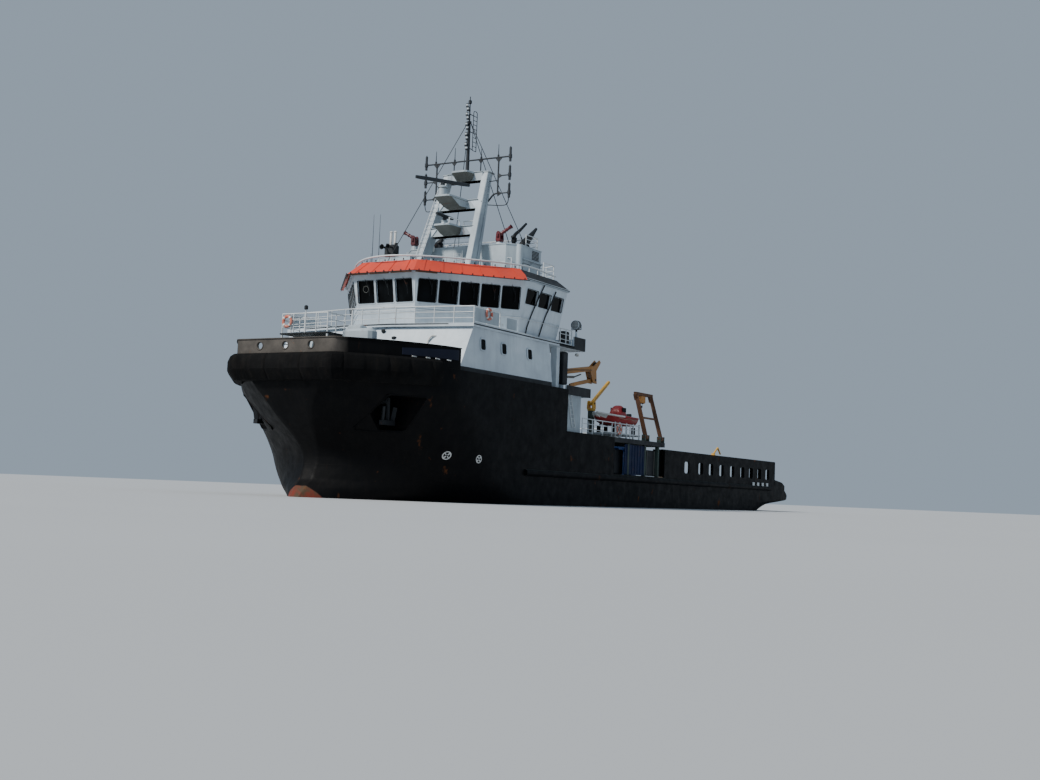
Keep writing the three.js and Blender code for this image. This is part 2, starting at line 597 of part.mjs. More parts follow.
add('exhaust_stack', join(plinth, pipes), 'darkSteel');

// Mast: two raked box legs that spread towards their feet
const MAST_LOW = ROOF_TOP + GAP;
const LEG = { half: 0.24, footDepth: 0.55, headDepth: 0.3 };
function onMast(z, foot, head) {
  return foot + (head - foot) * (z - ROOF_TOP) / (MAST_HEAD - ROOF_TOP);
}
const mastX = (z) => onMast(z, MAST_FOOT_X, MAST_HEAD_X);
const mastY = (z) => onMast(z, MAST_FOOT_Y, MAST_HEAD_Y);
function legSection(z, depth, side) {
  const x = mastX(z);
  const y = side * mastY(z);
  return { z, points: rectangle(x - depth, x + depth, y - LEG.half, y + LEG.half) };
}
const legs = [1, -1].map((side) => (
  loft([legSection(MAST_LOW, LEG.footDepth, side), legSection(MAST_HEAD, LEG.headDepth, side)])));
// At three heights a beam joins the legs, and a tongue that thins out ahead stands forward of it
const TONGUES = [
  // top, front, depth of the beam
  [18.2, 15.5, 0.6],
  [20.1, 15.65, 0.62],
  [MAST_HEAD, 13.7, 0.6],
];
const TONGUE = { root: 0.8, nose: 0.66, lip: 0.14, keel: 0.4 };
const beams = TONGUES.map(([z, , depth]) => {
  const x = mastX(z - depth / 2);
  const y = mastY(z) - LEG.half / 2;
  return box(x - 0.32, x + 0.32, -y, y, z - depth, z);
});
const tongues = TONGUES.map(([z, front, depth]) => {
  const back = mastX(z - depth / 2);
  const layer = (height, reach, root, nose) => ({
    z: height,
    points: bothSides([[back, root], [back + (front - back) * reach, nose]]),
  });
  const { root, nose, lip, keel } = TONGUE;
  return loft([
    layer(z - depth, keel, root * 0.9, nose * 0.8), layer(z - lip, 1, root, nose), layer(z, 1, root, nose),
  ]);
});
// Each radar's post stands on a tongue: x and y, its top, its radius, and how far it reaches down
const LARGE_RADAR = { x: 15.2, y: -0.2, z: 20.8, radius: 0.33, down: 0.8 };
const SMALL_RADAR = { x: 15.1, y: 0, z: 18.45, radius: 0.22, down: 0.4 };
const radarPosts = [LARGE_RADAR, SMALL_RADAR].map(({ x, y, z, radius, down }) => (
  rod([x, y, z - down], [x, y, z], radius, 12, radius * 0.7)));
add('mast', join(legs, beams, tongues, radarPosts), 'mastGrey');

// Radar scanners, each a bar on a turning hub; heading is the bar's angle from the bow
function scanner({ x, y, z }, length, heading, deep) {
  const low = z + GAP;
  const dx = Math.cos(heading) * length / 2;
  const dy = Math.sin(heading) * length / 2;
  return join(
    rod([x, y, low], [x, y, low + 0.22], 0.13, 12),
    bar([x - dx, y - dy, low + 0.3], [x + dx, y + dy, low + 0.3], 0.18, deep),
  );
}
add('radar_scanner_large', scanner(LARGE_RADAR, 3.95, 2.62, 0.26), 'antennaDark');
add('radar_scanner_small', scanner(SMALL_RADAR, 2.0, 3.17, 0.2), 'antennaDark');

// Topmast with its yard. A post hangs from the yard on each side and carries arms at three heights,
// each with a short antenna post at its end.
const TOPMAST_X = 12.65;
const YARD_HALF = 3.4;
const ANTENNA_TIERS = [YARD_HEIGHT, 21.8, 20.6];
const HANGER_Y = 2.5;
const yardParts = [1, -1].flatMap((side) => {
  const inner = side * HANGER_Y;
  const outer = side * YARD_HALF;
  return [
    bar([TOPMAST_X, 0, YARD_HEIGHT], [TOPMAST_X, outer, YARD_HEIGHT], 0.09),
    bar([TOPMAST_X, inner, YARD_HEIGHT + 0.02], [TOPMAST_X, inner, ANTENNA_TIERS[2] - 0.05], 0.09),
    ...ANTENNA_TIERS.slice(1).map((z) => bar([TOPMAST_X, inner, z], [TOPMAST_X, outer, z], 0.08)),
    ...ANTENNA_TIERS.map((z) => rod([TOPMAST_X, outer, z - 0.35], [TOPMAST_X, outer, z + 0.6], 0.07, 6)),
  ];
});
// Whips on the yard: y, and height above it
const YARD_WHIPS = [[-2.6, 0.9], [-1.05, 1.0], [1.1, 0.75], [2.46, 0.9]];
const whips = YARD_WHIPS.map(([y, rise]) => (
  rod([TOPMAST_X, y, YARD_HEIGHT], [TOPMAST_X, y, YARD_HEIGHT + rise], 0.035, 6)));
const topmastPole = [
  rod([TOPMAST_X, 0, MAST_HEAD + GAP], [TOPMAST_X, 0, 25.6], 0.11, 8, 0.08),
  rod([TOPMAST_X, 0, 25.5], [TOPMAST_X, 0, TOPMAST_TOP], 0.06, 6, 0.03),
];
// Lamp brackets step out forward of the pole at these heights
const LAMP_HEIGHTS = [23.8, 24.5, 25.2, 25.9, 26.5];
const lamps = LAMP_HEIGHTS.flatMap((z) => [
  bar([TOPMAST_X, 0, z], [TOPMAST_X + 0.34, 0, z], 0.05),
  rod([TOPMAST_X + 0.34, 0, z - 0.06], [TOPMAST_X + 0.34, 0, z + 0.16], 0.08, 8),
]);
add('topmast', join(topmastPole, yardParts, whips, lamps), 'antennaDark');

// Main stays: a collar round the topmast, and a wire from it to each of four feet
const COLLAR_Z = 25.62;
// Columns: x, y, height of the deck that holds the foot
const STAY_FEET = [
  [11.9, 4.38, CASING_TOP],
  [15.9, -4.6, ROOF_TOP],
  [10.36, 2.4, CASING_TOP],
  [10.36, -2.4, CASING_TOP],
];
const collar = rod([TOPMAST_X, 0, COLLAR_Z], [TOPMAST_X, 0, COLLAR_Z + 0.16], 0.13, 12)
  .subtract(rod([TOPMAST_X, 0, COLLAR_Z - 1], [TOPMAST_X, 0, COLLAR_Z + 1], 0.068, 12));
const stays = STAY_FEET.flatMap(([x, y, deck]) => {
  const run = Math.hypot(x - TOPMAST_X, y);
  const start = [TOPMAST_X + (x - TOPMAST_X) * 0.1 / run, y * 0.1 / run, COLLAR_Z + 0.08];
  return [
    rod(start, [x, y, deck + 0.05], 0.022, 6),
    box(x - 0.1, x + 0.1, y - 0.1, y + 0.1, deck + GAP, deck + 0.08),
  ];
});
add('main_stays', join(collar, stays), 'antennaDark');

// Fire monitors: a yoke that turns on the pedestal, and a barrel that tilts in the yoke
for (const [name, y, base] of MONITORS) {
  const x = MONITOR_X;
  const out = Math.sign(y);
  const foot = rod([x, y, base + GAP], [x, y, base + 0.14], 0.24, 12);
  const cheeks = [0.2, -0.2].map((dx) => (
    box(x + dx - 0.03, x + dx + 0.03, y - 0.18, y + 0.18, base + 0.1, base + 0.68)));
  add(`monitor_yoke_${name}`, join(foot, cheeks), 'monitorRed');
  const z = base + MONITOR_PIN;
  const barrel = rod([x, y - out * 0.14, z - 0.075], [x, y + out * 0.72, z + 0.4], 0.13, 10, 0.09);
  const pin = rod([x - 0.16, y, z], [x + 0.16, y, z], 0.1, 10);
  const nozzle = rod([x, y + out * 0.66, z + 0.367], [x, y + out * 0.9, z + 0.5], 0.1, 10, 0.15);
  add(`monitor_barrel_${name}`, join(barrel, pin, nozzle), 'monitorRed');
}

// Searchlights on the wings, each a drum on a neck that turns on its post
for (const [name, side] of [['port', 1], ['starboard', -1]]) {
  const y = side * SEARCHLIGHT_Y;
  const z = SEARCHLIGHT_Z + 0.45;
  const drum = rod([SEARCHLIGHT_X - 0.2, y, z], [SEARCHLIGHT_X + 0.25, y, z], 0.3, 16);
  const neck = rod([SEARCHLIGHT_X, y, SEARCHLIGHT_Z + GAP], [SEARCHLIGHT_X, y, SEARCHLIGHT_Z + 0.3], 0.07, 8);
  add(`searchlight_${name}`, join(drum, neck), 'darkSteel');
}

// Windlass on the fore deck: a frame with a motor, and a shaft with two drums
const WINDLASS_X = 25.6;
const WINDLASS_Z = 9.0;
const cheekOutline = [
  [WINDLASS_X - 0.7, FORE_DECK + GAP], [WINDLASS_X + 0.7, FORE_DECK + GAP],
  [WINDLASS_X + 0.25, WINDLASS_Z + 0.25], [WINDLASS_X - 0.25, WINDLASS_Z + 0.25],
];
const windlassCheeks = [-1.7, 0, 1.7].map((y) => slab(cheekOutline, y - 0.1, y + 0.1, 'xz'));
const windlassBed = box(WINDLASS_X - 0.9, WINDLASS_X + 0.9, -1.9, 1.9, FORE_DECK + GAP, FORE_DECK + 0.15);
const shaftHole = rod([WINDLASS_X, -3, WINDLASS_Z], [WINDLASS_X, 3, WINDLASS_Z], 0.13, 12);
const windlassMotor = slab([
  [WINDLASS_X - 1.3, FORE_DECK + GAP], [WINDLASS_X - 0.6, FORE_DECK + GAP],
  [WINDLASS_X - 0.7, 9.7], [WINDLASS_X - 0.9, 10.1], [WINDLASS_X - 1.3, 10.1],
], -1.8, 0.1, 'xz');
add('windlass_frame', cut(join(windlassCheeks, windlassBed, windlassMotor), shaftHole), 'mastGrey');
const drumProfile = [
  [0, 0], [0, 0.6], [0.08, 0.6], [0.12, 0.32], [0.62, 0.32], [0.66, 0.6], [0.74, 0.6], [0.74, 0],
];
const windlassDrums = [
  turned([WINDLASS_X, 0.45, WINDLASS_Z], [0, 1, 0], drumProfile, 16),
  turned([WINDLASS_X, -1.19, WINDLASS_Z], [0, 1, 0], drumProfile, 16),
  rod([WINDLASS_X, -2.5, WINDLASS_Z], [WINDLASS_X, 2.5, WINDLASS_Z], 0.12, 12),
  rod([WINDLASS_X, 2.0, WINDLASS_Z], [WINDLASS_X, 2.5, WINDLASS_Z], 0.3, 12),
  rod([WINDLASS_X, -2.5, WINDLASS_Z], [WINDLASS_X, -2.0, WINDLASS_Z], 0.3, 12),
];
add('windlass_drums', join(windlassDrums), 'mastGrey');

// After house on the boat deck, its platform reaching aft over the deck, and the davit's pedestal
const AFT_HOUSE_AFT = 8.4;
const PLATFORM_AFT = 7.5;
const PLATFORM_HALF = 7.3;
const COAMING_TOP = 7.87;
const DAVIT_X = 9.0;
const DAVIT_Y = 5.6;
const DAVIT_Z = 8.3;
const AFT_HOUSE_HALF = 7.1;
const AFT_DOOR = { y0: 1.2, y1: 2.0, low: BOAT_DECK + 0.25, high: BOAT_DECK + 2.15 };
const coamings = [1, -1].map((side) => {
  const outer = side * PLATFORM_HALF;
  return box(PLATFORM_AFT, FORE_STEP - GAP, outer - side * 0.1, outer, FORE_DECK - 0.1, COAMING_TOP);
});
const aftHouse = [
  box(AFT_HOUSE_AFT, FORE_STEP - GAP, -AFT_HOUSE_HALF, AFT_HOUSE_HALF, BOAT_DECK + GAP, FORE_DECK - 0.25),
  box(PLATFORM_AFT, FORE_STEP - GAP, -PLATFORM_HALF, PLATFORM_HALF, FORE_DECK - 0.3, FORE_DECK),
  rod([DAVIT_X, DAVIT_Y, FORE_DECK - 0.1], [DAVIT_X, DAVIT_Y, DAVIT_Z], 0.4, 12),
];
const aftRoom = box(
  AFT_HOUSE_AFT + WALL, FORE_STEP - WALL, -AFT_HOUSE_HALF + WALL, AFT_HOUSE_HALF - WALL,
  BOAT_DECK + 0.1, FORE_DECK - 0.4,
);
const aftDoorway = box(
  AFT_HOUSE_AFT - 1, AFT_HOUSE_AFT + 1, AFT_DOOR.y0, AFT_DOOR.y1, AFT_DOOR.low, AFT_DOOR.high,
);
add('after_house', cut(join(aftHouse, coamings), aftRoom, aftDoorway), 'houseWhite');
add('after_house_door', box(
  AFT_HOUSE_AFT - 0.03, AFT_HOUSE_AFT + 0.07,
  AFT_DOOR.y0 + CLEAR, AFT_DOOR.y1 - CLEAR, AFT_DOOR.low + CLEAR, AFT_DOOR.high - CLEAR,
), 'houseWhite');

// The davit: a column and box boom that slew on the pedestal, and the outer arm folded under it
const DAVIT_TIP = [4.0, 9.68];
const JIB_PIN = [4.0, 8.85];
const JIB_END = [7.34, 8.19];
const acrossJib = (half, radius) => (
  rod([JIB_PIN[0], DAVIT_Y - half, JIB_PIN[1]], [JIB_PIN[0], DAVIT_Y + half, JIB_PIN[1]], radius, 12));
const headPlate = [
  [3.6, 8.6], [4.4, 8.6], [4.75, 9.3], [4.75, 9.75], [3.9, 9.95], [3.45, 10.3], [3.25, 10.15], [3.6, 9.5],
];
const davitBoom = [
  rod([DAVIT_X, DAVIT_Y, DAVIT_Z + GAP], [DAVIT_X, DAVIT_Y, DAVIT_Z + 0.9], 0.38, 12),
  bar([DAVIT_X + 0.4, DAVIT_Y, DAVIT_Z + 0.57], [DAVIT_TIP[0], DAVIT_Y, DAVIT_TIP[1]], 0.42, 0.34),
  ...[-0.22, 0.15].map((dy) => slab(headPlate, -DAVIT_Y - dy - 0.07, -DAVIT_Y - dy, 'xz')),
];
add('davit_boom', cut(join(davitBoom), acrossJib(1, 0.09)), 'davitOrange');
const davitJib = [
  bar([JIB_PIN[0], DAVIT_Y, JIB_PIN[1]], [JIB_END[0], DAVIT_Y, JIB_END[1]], 0.14, 0.26),
  acrossJib(0.08, 0.17),
  acrossJib(0.24, 0.08),
];
add('davit_jib', join(davitJib), 'davitOrange');

// Boat deck: its after part stands on pillars over the winch, with the boat's cradle and the crane's foot
const CRANE_X = 0.85;
const CRANE_Y = 3.9;
const CRANE_Z = 6.9;
const PILLARS = [7.1, -7.1].flatMap((y) => [-3.81, -1.56, 1.2].map((x) => [x, y]));
const boatDeck = [
  box(BOAT_DECK_AFT, ENGINE_BULKHEAD - GAP, -7.4, 7.4, BOAT_DECK - 0.3, BOAT_DECK),
  ...PILLARS.map(([x, y]) => box(x - 0.12, x + 0.12, y - 0.12, y + 0.12, MAIN_DECK + GAP, BOAT_DECK - 0.2)),
  rod([CRANE_X, CRANE_Y, BOAT_DECK - 0.1], [CRANE_X, CRANE_Y, CRANE_Z], 0.25, 12),
];
// Lugs for the feet of the boat's A-frame, pierced for its pins
const FRAME_FOOT_XS = [-1.45, -4.05];
const FRAME_FOOT_Y = 7.25;
const FRAME_FOOT_Z = BOAT_DECK + 0.3;
const frameLugs = FRAME_FOOT_XS.flatMap((x) => [-0.36, 0.28].map((dx) => box(
  x + dx, x + dx + 0.08, FRAME_FOOT_Y - 0.15, FRAME_FOOT_Y + 0.15, BOAT_DECK - 0.05, FRAME_FOOT_Z + 0.15,
)));
const throughFoot = (x, half, radius) => (
  rod([x - half, FRAME_FOOT_Y, FRAME_FOOT_Z], [x + half, FRAME_FOOT_Y, FRAME_FOOT_Z], radius, 12));
const lugHoles = FRAME_FOOT_XS.map((x) => throughFoot(x, 0.5, 0.09));
add('boat_deck', cut(join(boatDeck, frameLugs), lugHoles), 'deckGreen');

const CRANE_PIN_Z = CRANE_Z + 0.55;
const acrossCrane = (half, radius) => (
  rod([CRANE_X, CRANE_Y - half, CRANE_PIN_Z], [CRANE_X, CRANE_Y + half, CRANE_PIN_Z], radius, 12));
const craneCheeks = [-0.25, 0.17].map((dy) => (
  box(CRANE_X - 0.25, CRANE_X + 0.25, CRANE_Y + dy, CRANE_Y + dy + 0.08, CRANE_Z + 0.15, CRANE_Z + 0.75)));
const craneFoot = rod([CRANE_X, CRANE_Y, CRANE_Z + GAP], [CRANE_X, CRANE_Y, CRANE_Z + 0.2], 0.3, 12);
add('crane_column', cut(join(craneFoot, craneCheeks), acrossCrane(1, 0.08)), 'craneYellow');
add('crane_boom', join(
  bar([CRANE_X, CRANE_Y, CRANE_PIN_Z], [CRANE_X - 2.65, CRANE_Y, CRANE_PIN_Z + 1.81], 0.18, 0.24),
  acrossCrane(0.1, 0.17),
  acrossCrane(0.27, 0.07),
), 'craneYellow');

// Rescue boat on its cradle, its bow forward
const BOAT_Y = 5.4;
const boatStations = [
  { z: -2.4, points: [[0.55, 0.55], [0.8, 0.9], [0.85, 1.15], [-0.85, 1.15], [-0.8, 0.9], [-0.55, 0.55]] },
  { z: 0.8, points: [[0.5, 0.4], [0.85, 0.75], [0.95, 1.15], [-0.95, 1.15], [-0.85, 0.75], [-0.5, 0.4]] },
  { z: 2.0, points: [[0.2, 0.55], [0.5, 0.85], [0.65, 1.2], [-0.65, 1.2], [-0.5, 0.85], [-0.2, 0.55]] },
  { z: 2.9, points: [[0.05, 1.0], [0.1, 1.15], [0.15, 1.3], [-0.15, 1.3], [-0.1, 1.15], [-0.05, 1.0]] },
];
// Stations are drawn across the boat and stacked along it, then laid down
const layDown = (solid) => solid.rotate([90, 0, 90]);
const boatHull = layDown(loft(boatStations));
const canopyProfile = [[-1.3, 1.0], [-0.1, 1.0], [-0.25, 1.9], [-0.45, 2.05], [-1.05, 2.05], [-1.2, 1.9]];
const canopy = slab(canopyProfile, -0.5, 0.5, 'xz');
add('rescue_boat', join(boatHull, canopy).translate([0.2, BOAT_Y, BOAT_DECK + 0.55]), 'boatRed');
const CRADLE_XS = [2.0, 1.3, 0.2, -0.9, -1.9];
const cradle = CRADLE_XS.flatMap((x) => [
  box(x - 0.06, x + 0.06, BOAT_Y + 1.02, BOAT_Y + 1.14, BOAT_DECK + GAP, BOAT_DECK + 1.2),
  box(x - 0.06, x + 0.06, BOAT_Y - 1.14, BOAT_Y - 1.02, BOAT_DECK + GAP, BOAT_DECK + 1.2),
  box(x - 0.06, x + 0.06, BOAT_Y - 1.14, BOAT_Y + 1.14, BOAT_DECK + 0.3, BOAT_DECK + 0.45),
]);
const cradleRails = [1.08, -1.08].map((dy) => (
  box(-2.0, 2.1, BOAT_Y + dy - 0.05, BOAT_Y + dy + 0.05, BOAT_DECK + 0.3, BOAT_DECK + 0.44)));
add('boat_cradle', join(cradle, cradleRails), 'railWhite');

// The boat's A-frame: two legs leaning inboard from feet at the deck's edge, and a head beam
const FRAME_HEAD_XS = [-1.26, -3.73];
const FRAME_HEAD_Y = 6.45;
const FRAME_HEAD_Z = 8.35;
const TIE = 0.45;
const tieEnds = FRAME_FOOT_XS.map((x, i) => [
  x + (FRAME_HEAD_XS[i] - x) * TIE,
  FRAME_FOOT_Y + (FRAME_HEAD_Y - FRAME_FOOT_Y) * TIE,
  FRAME_FOOT_Z + (FRAME_HEAD_Z - FRAME_FOOT_Z) * TIE,
]);
const aFrame = [
  ...FRAME_FOOT_XS.flatMap((x, i) => [
    bar([x, FRAME_FOOT_Y, FRAME_FOOT_Z], [FRAME_HEAD_XS[i], FRAME_HEAD_Y, FRAME_HEAD_Z], 0.22, 0.3),
    throughFoot(x, 0.38, 0.08),
    throughFoot(x, 0.18, 0.17),
  ]),
  bar([-1.1, FRAME_HEAD_Y, FRAME_HEAD_Z], [-3.9, FRAME_HEAD_Y, FRAME_HEAD_Z], 0.24, 0.24),
  bar(tieEnds[0], tieEnds[1], 0.14, 0.14),
  box(-2.85, -2.0, 6.2, 6.5, 7.7, 8.3),
];
add('boat_a_frame', join(aFrame), 'rustBrown');

// Towing winch: a frame with three cheeks, and two drums one above the other
const WINCH_X = -6.0;
const winchOutline = [
  [WINCH_X - 1.9, MAIN_DECK + 0.1], [WINCH_X + 1.2, MAIN_DECK + 0.1],
  [WINCH_X + 1.2, 5.2], [WINCH_X - 0.3, 5.2], [WINCH_X - 1.9, 3.4],
];
const winchCheeks = [-3.2, 0, 3.2].map((y) => slab(winchOutline, y - 0.15, y + 0.15, 'xz'));
const winchBed = box(WINCH_X - 2.0, WINCH_X + 1.3, -3.4, 3.4, MAIN_DECK + GAP, MAIN_DECK + 0.2);
const winchTie = box(WINCH_X + 0.9, WINCH_X + 1.2, -3.3, 3.3, 4.9, 5.2);
const upperDrum = [WINCH_X + 0.05, 4.35];
const lowerDrum = [WINCH_X - 0.85, 3.25];
const winchHoles = [upperDrum, lowerDrum].map(([x, z]) => rod([x, -4, z], [x, 4, z], 0.17, 12));
add('winch_frame', cut(join(winchCheeks, winchBed, winchTie), winchHoles), 'winchBlue');
// Each drum is two spools on one shaft, one on each side of the middle cheek
const SPOOL = { length: 2.78, plate: 0.1 };
function drum([x, z], flange, core) {
  const { length, plate } = SPOOL;
  const profile = [
    [0, 0], [0, flange], [plate, flange], [plate, core],
    [length - plate, core], [length - plate, flange], [length, flange], [length, 0],
  ];
  const spools = [0.21, -0.21 - length].map((from) => turned([x, from, z], [0, 1, 0], profile, 16));
  return join(spools, rod([x, -3.5, z], [x, 3.5, z], 0.16, 12));
}
add('winch_drum_upper', drum(upperDrum, 0.62, 0.3), 'darkSteel');
add('winch_drum_lower', drum(lowerDrum, 0.6, 0.3), 'darkSteel');

// Cargo rails along the working deck, with openings through them, and the low quarter aft of each
const RAIL_OPENINGS = [-8.6, -11.3, -13.4, -15.6, -17.9, -20.2, -22.2, -24.2, -26.2];
const SHELF_Y = 6.45;
// The low bulwark aft of each rail, in side view: it follows the deck down to the roller
const QUARTER = [
  [-30.9, 1.9 + GAP], [SLOPE_START, MAIN_DECK + GAP], [RAIL_AFT + 0.1, MAIN_DECK + GAP],
  [RAIL_AFT + 0.1, 2.8], [-30.1, 2.6], [-30.9, 2.3],
];
const OPENING = { half: 0.45, low: 2.75, high: 3.65 };
for (const [name, side] of [['port', 1], ['starboard', -1]]) {
  const outer = loft([{ z: MAIN_DECK + GAP, points: deckLine }, { z: RAIL_TOP, points: deckLine }]);
  const inner = loft([
    { z: 0, points: inset(deckLine, 0.14) },
    { z: RAIL_TOP + 1, points: inset(deckLine, 0.14) },
  ]);
  const shelf = outer.intersect(box(-FAR, FAR, side * SHELF_Y, side * 9, RAIL_TOP - 0.35, RAIL_TOP));
  const span = box(RAIL_AFT, BOAT_DECK_AFT - GAP, side * 2, side * 9, MAIN_DECK, 6);
  const low = loft([{ z: 1, points: deckLine }, { z: 4, points: deckLine }]);
  const quarter = low.subtract(inner)
    .intersect(slab(QUARTER, -9, 9, 'xz'))
    .intersect(box(-FAR, FAR, side * 5, side * 9, 0, 9));
  const holes = RAIL_OPENINGS.map((x) => (
    box(x - OPENING.half, x + OPENING.half, side * 6, side * 8, OPENING.low, OPENING.high)));
  const rail = join(outer.subtract(inner).intersect(span), shelf.intersect(span), quarter);
  add(`cargo_rail_${name}`, cut(rail, holes), 'hullBlack');
}

// Timber sheathing on the working deck
const SHEATH_HALF = 5.6;
const SHEATH_AFT = -28.9;
const sheathing = box(SHEATH_AFT, WINCH_X - 2.3, -SHEATH_HALF, SHEATH_HALF, MAIN_DECK + GAP, MAIN_DECK + 0.1);
const pinRod = (side, low, high, radius) => (
  rod([PIN_X, side * PIN_Y, low], [PIN_X, side * PIN_Y, high], radius, 12));
const sheathingHoles = [1, -1].map((side) => pinRod(side, 1, 3, 0.3));
add('deck_sheathing', cut(sheathing, sheathingHoles), 'timber');

// Stern roller, and the towing pins that rise out of the deck ahead of it
const rollerProfile = [[0, 0], [0, ROLLER_R], [2 * ROLLER_HALF, ROLLER_R], [2 * ROLLER_HALF, 0]];
add('stern_roller', turned([ROLLER_X, -ROLLER_HALF, ROLLER_Z], [0, 1, 0], rollerProfile, 28), 'darkSteel');
for (const [name, side] of [['port', 1], ['starboard', -1]]) {
  add(`towing_pin_${name}`, pinRod(side, 0.9 + CLEAR, MAIN_DECK + 0.12, 0.24), 'darkSteel');
}

// A small stowed davit on the port cargo rail
add('rail_davit', join(
  rod([-15.05, 6.9, RAIL_TOP + GAP], [-15.05, 6.9, RAIL_TOP + 0.2], 0.2, 10),
  bar([-15.05, 6.9, RAIL_TOP + 0.1], [-15.94, 6.9, 5.08], 0.12),
  bar([-15.92, 6.9, 5.1], [-16.54, 6.9, 4.58], 0.12),
), 'craneYellow');

// Railings: posts along a path and three bars between them
const RAIL_BAR = 0.05;
function railing(path, z, { height = 1.05, spacing = 2.6, bars = 3 } = {}) {
  const parts = [];
  path.slice(1).forEach((end, i) => {
    const start = path[i];
    const length = Math.hypot(end[0] - start[0], end[1] - start[1]);
    const count = Math.max(1, Math.round(length / spacing));
    for (let k = i === 0 ? 0 : 1; k <= count; k += 1) {
      const x = start[0] + (end[0] - start[0]) * (k / count);
      const y = start[1] + (end[1] - start[1]) * (k / count);
      parts.push(box(x - 0.04, x + 0.04, y - 0.04, y + 0.04, z + GAP, z + height));
    }
    for (let b = 1; b <= bars; b += 1) {
      const h = z + height * b / bars - RAIL_BAR / 2;
      parts.push(bar([...start, h], [...end, h], RAIL_BAR));
    }
  });
  return join(parts);
}
const casingRail = [[11.7, 4.3], [10.2, 4.3], [10.2, -4.3], [11.7, -4.3]];
add('casing_railing', railing(casingRail, CASING_TOP, { height: 0.9 }), 'railWhite');
// The bridge deck is railed round its front and on each wing, and a low toe strip runs between them
const RAIL_Y = 6.95;
const frontRail = bothSides([[18.8, RAIL_Y], [21.7, RAIL_Y], [22.55, 1.9]]);
const wingRails = [1, -1].map((side) => [[9.75, side * RAIL_Y], [11.3, side * RAIL_Y]]);
const toeStrips = [1, -1].map((side) => (
  box(9.75, 21.7, side * RAIL_Y - 0.03, side * RAIL_Y + 0.03, BRIDGE_DECK + GAP, BRIDGE_DECK + 0.1)));
const bridgeRails = [frontRail, ...wingRails].map((path) => railing(path, BRIDGE_DECK));
add('bridge_railing', join(bridgeRails, toeStrips), 'railWhite');
// The lookout platform over the bow mooring deck, on four legs, with rails on three sides
const BOW_PLATFORM = [[27.4, 1.9], [28.9, 1.9], [28.9, -1.4], [27.4, -1.4]];
const BOW_PLATFORM_Z = 9.3;
const bowLegs = BOW_PLATFORM.map(([x, y]) => rod([x, y, FORE_DECK + GAP], [x, y, BOW_PLATFORM_Z], 0.06, 6));
const bowPlate = box(27.3, 29.0, -1.5, 2.0, BOW_PLATFORM_Z - 0.06, BOW_PLATFORM_Z);
const bowRailing = railing(BOW_PLATFORM, BOW_PLATFORM_Z - 0.02, { height: 1.15, spacing: 1.3 });
add('bow_platform', join(bowRailing, bowLegs, bowPlate), 'railWhite');
const boatDeckRails = [
  ['port', [[8.3, 7.2], [3.9, 7.2], [-0.4, 7.2]]],
  ['starboard', [[8.3, -7.2], [3.9, -7.2], [-4.2, -7.2], [-4.2, 2.5]]],
];
for (const [name, path] of boatDeckRails) {
  add(`boat_deck_railing_${name}`, railing(path, BOAT_DECK), 'railWhite');
}

group.scale.setScalar(MODEL_MM_PER_METRE);
group.updateMatrixWorld(true);

export default group;
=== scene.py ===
import json
import math
import bpy
import numpy as np
from mathutils import Matrix, Vector

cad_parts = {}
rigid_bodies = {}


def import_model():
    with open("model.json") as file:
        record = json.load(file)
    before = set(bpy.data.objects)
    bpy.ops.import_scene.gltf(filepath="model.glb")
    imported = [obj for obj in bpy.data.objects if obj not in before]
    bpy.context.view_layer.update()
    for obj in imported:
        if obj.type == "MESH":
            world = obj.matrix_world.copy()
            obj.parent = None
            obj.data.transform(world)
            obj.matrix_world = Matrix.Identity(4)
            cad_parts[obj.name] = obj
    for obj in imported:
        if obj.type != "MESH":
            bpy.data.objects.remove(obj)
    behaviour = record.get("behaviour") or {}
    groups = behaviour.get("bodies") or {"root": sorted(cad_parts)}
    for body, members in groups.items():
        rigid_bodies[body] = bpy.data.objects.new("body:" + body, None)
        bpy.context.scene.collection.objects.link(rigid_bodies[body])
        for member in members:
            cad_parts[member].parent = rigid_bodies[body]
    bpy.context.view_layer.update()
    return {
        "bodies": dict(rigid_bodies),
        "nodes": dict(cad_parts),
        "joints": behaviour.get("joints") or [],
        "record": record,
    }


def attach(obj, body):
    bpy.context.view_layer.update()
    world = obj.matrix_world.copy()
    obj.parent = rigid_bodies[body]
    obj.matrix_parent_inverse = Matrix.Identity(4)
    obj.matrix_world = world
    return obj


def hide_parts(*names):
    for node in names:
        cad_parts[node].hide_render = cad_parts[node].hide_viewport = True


# A 1:10 model of an anchor-handling tug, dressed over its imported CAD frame.
# Sizes below are the full-size ship's metres; makePiece brings them to the model's metres.
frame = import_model()
print("frame loaded:", len(frame["nodes"]), "nodes")

modelScale = 0.1

# Each shape is (vertices, [blocks of faces with equal corner counts])


def unit(vectors):
    return vectors / np.linalg.norm(vectors, axis=-1, keepdims=True)


def outward(vertices, faces):
    # Turns a closed shape's faces outwards: the sum of its corners' triple products gives the volume's sign
    volume = 0.0
    for block in faces:
        corners = vertices[block]
        for j in range(1, block.shape[1] - 1):
            volume += np.einsum("ij,ij->", corners[:, 0], np.cross(corners[:, j], corners[:, j + 1]))
    return vertices, ([block[:, ::-1] for block in faces] if volume < 0 else faces)


def gridSurface(points, wrapRows=False):
    # Surface through a grid of points, p(row, column), each row a ring; the end rows are capped unless the rows close too
    points = np.asarray(points, float)
    rows, columns = points.shape[:2]
    index = np.arange(rows * columns).reshape(rows, columns)
    near, far = (index, np.roll(index, -1, 0)) if wrapRows else (index[:-1], index[1:])
    faces = [np.stack((near, far, np.roll(far, -1, 1), np.roll(near, -1, 1)), -1).reshape(-1, 4)]
    if not wrapRows:
        faces += [index[0][None, :], index[-1][None, ::-1]]
    return outward(points.reshape(-1, 3), faces)


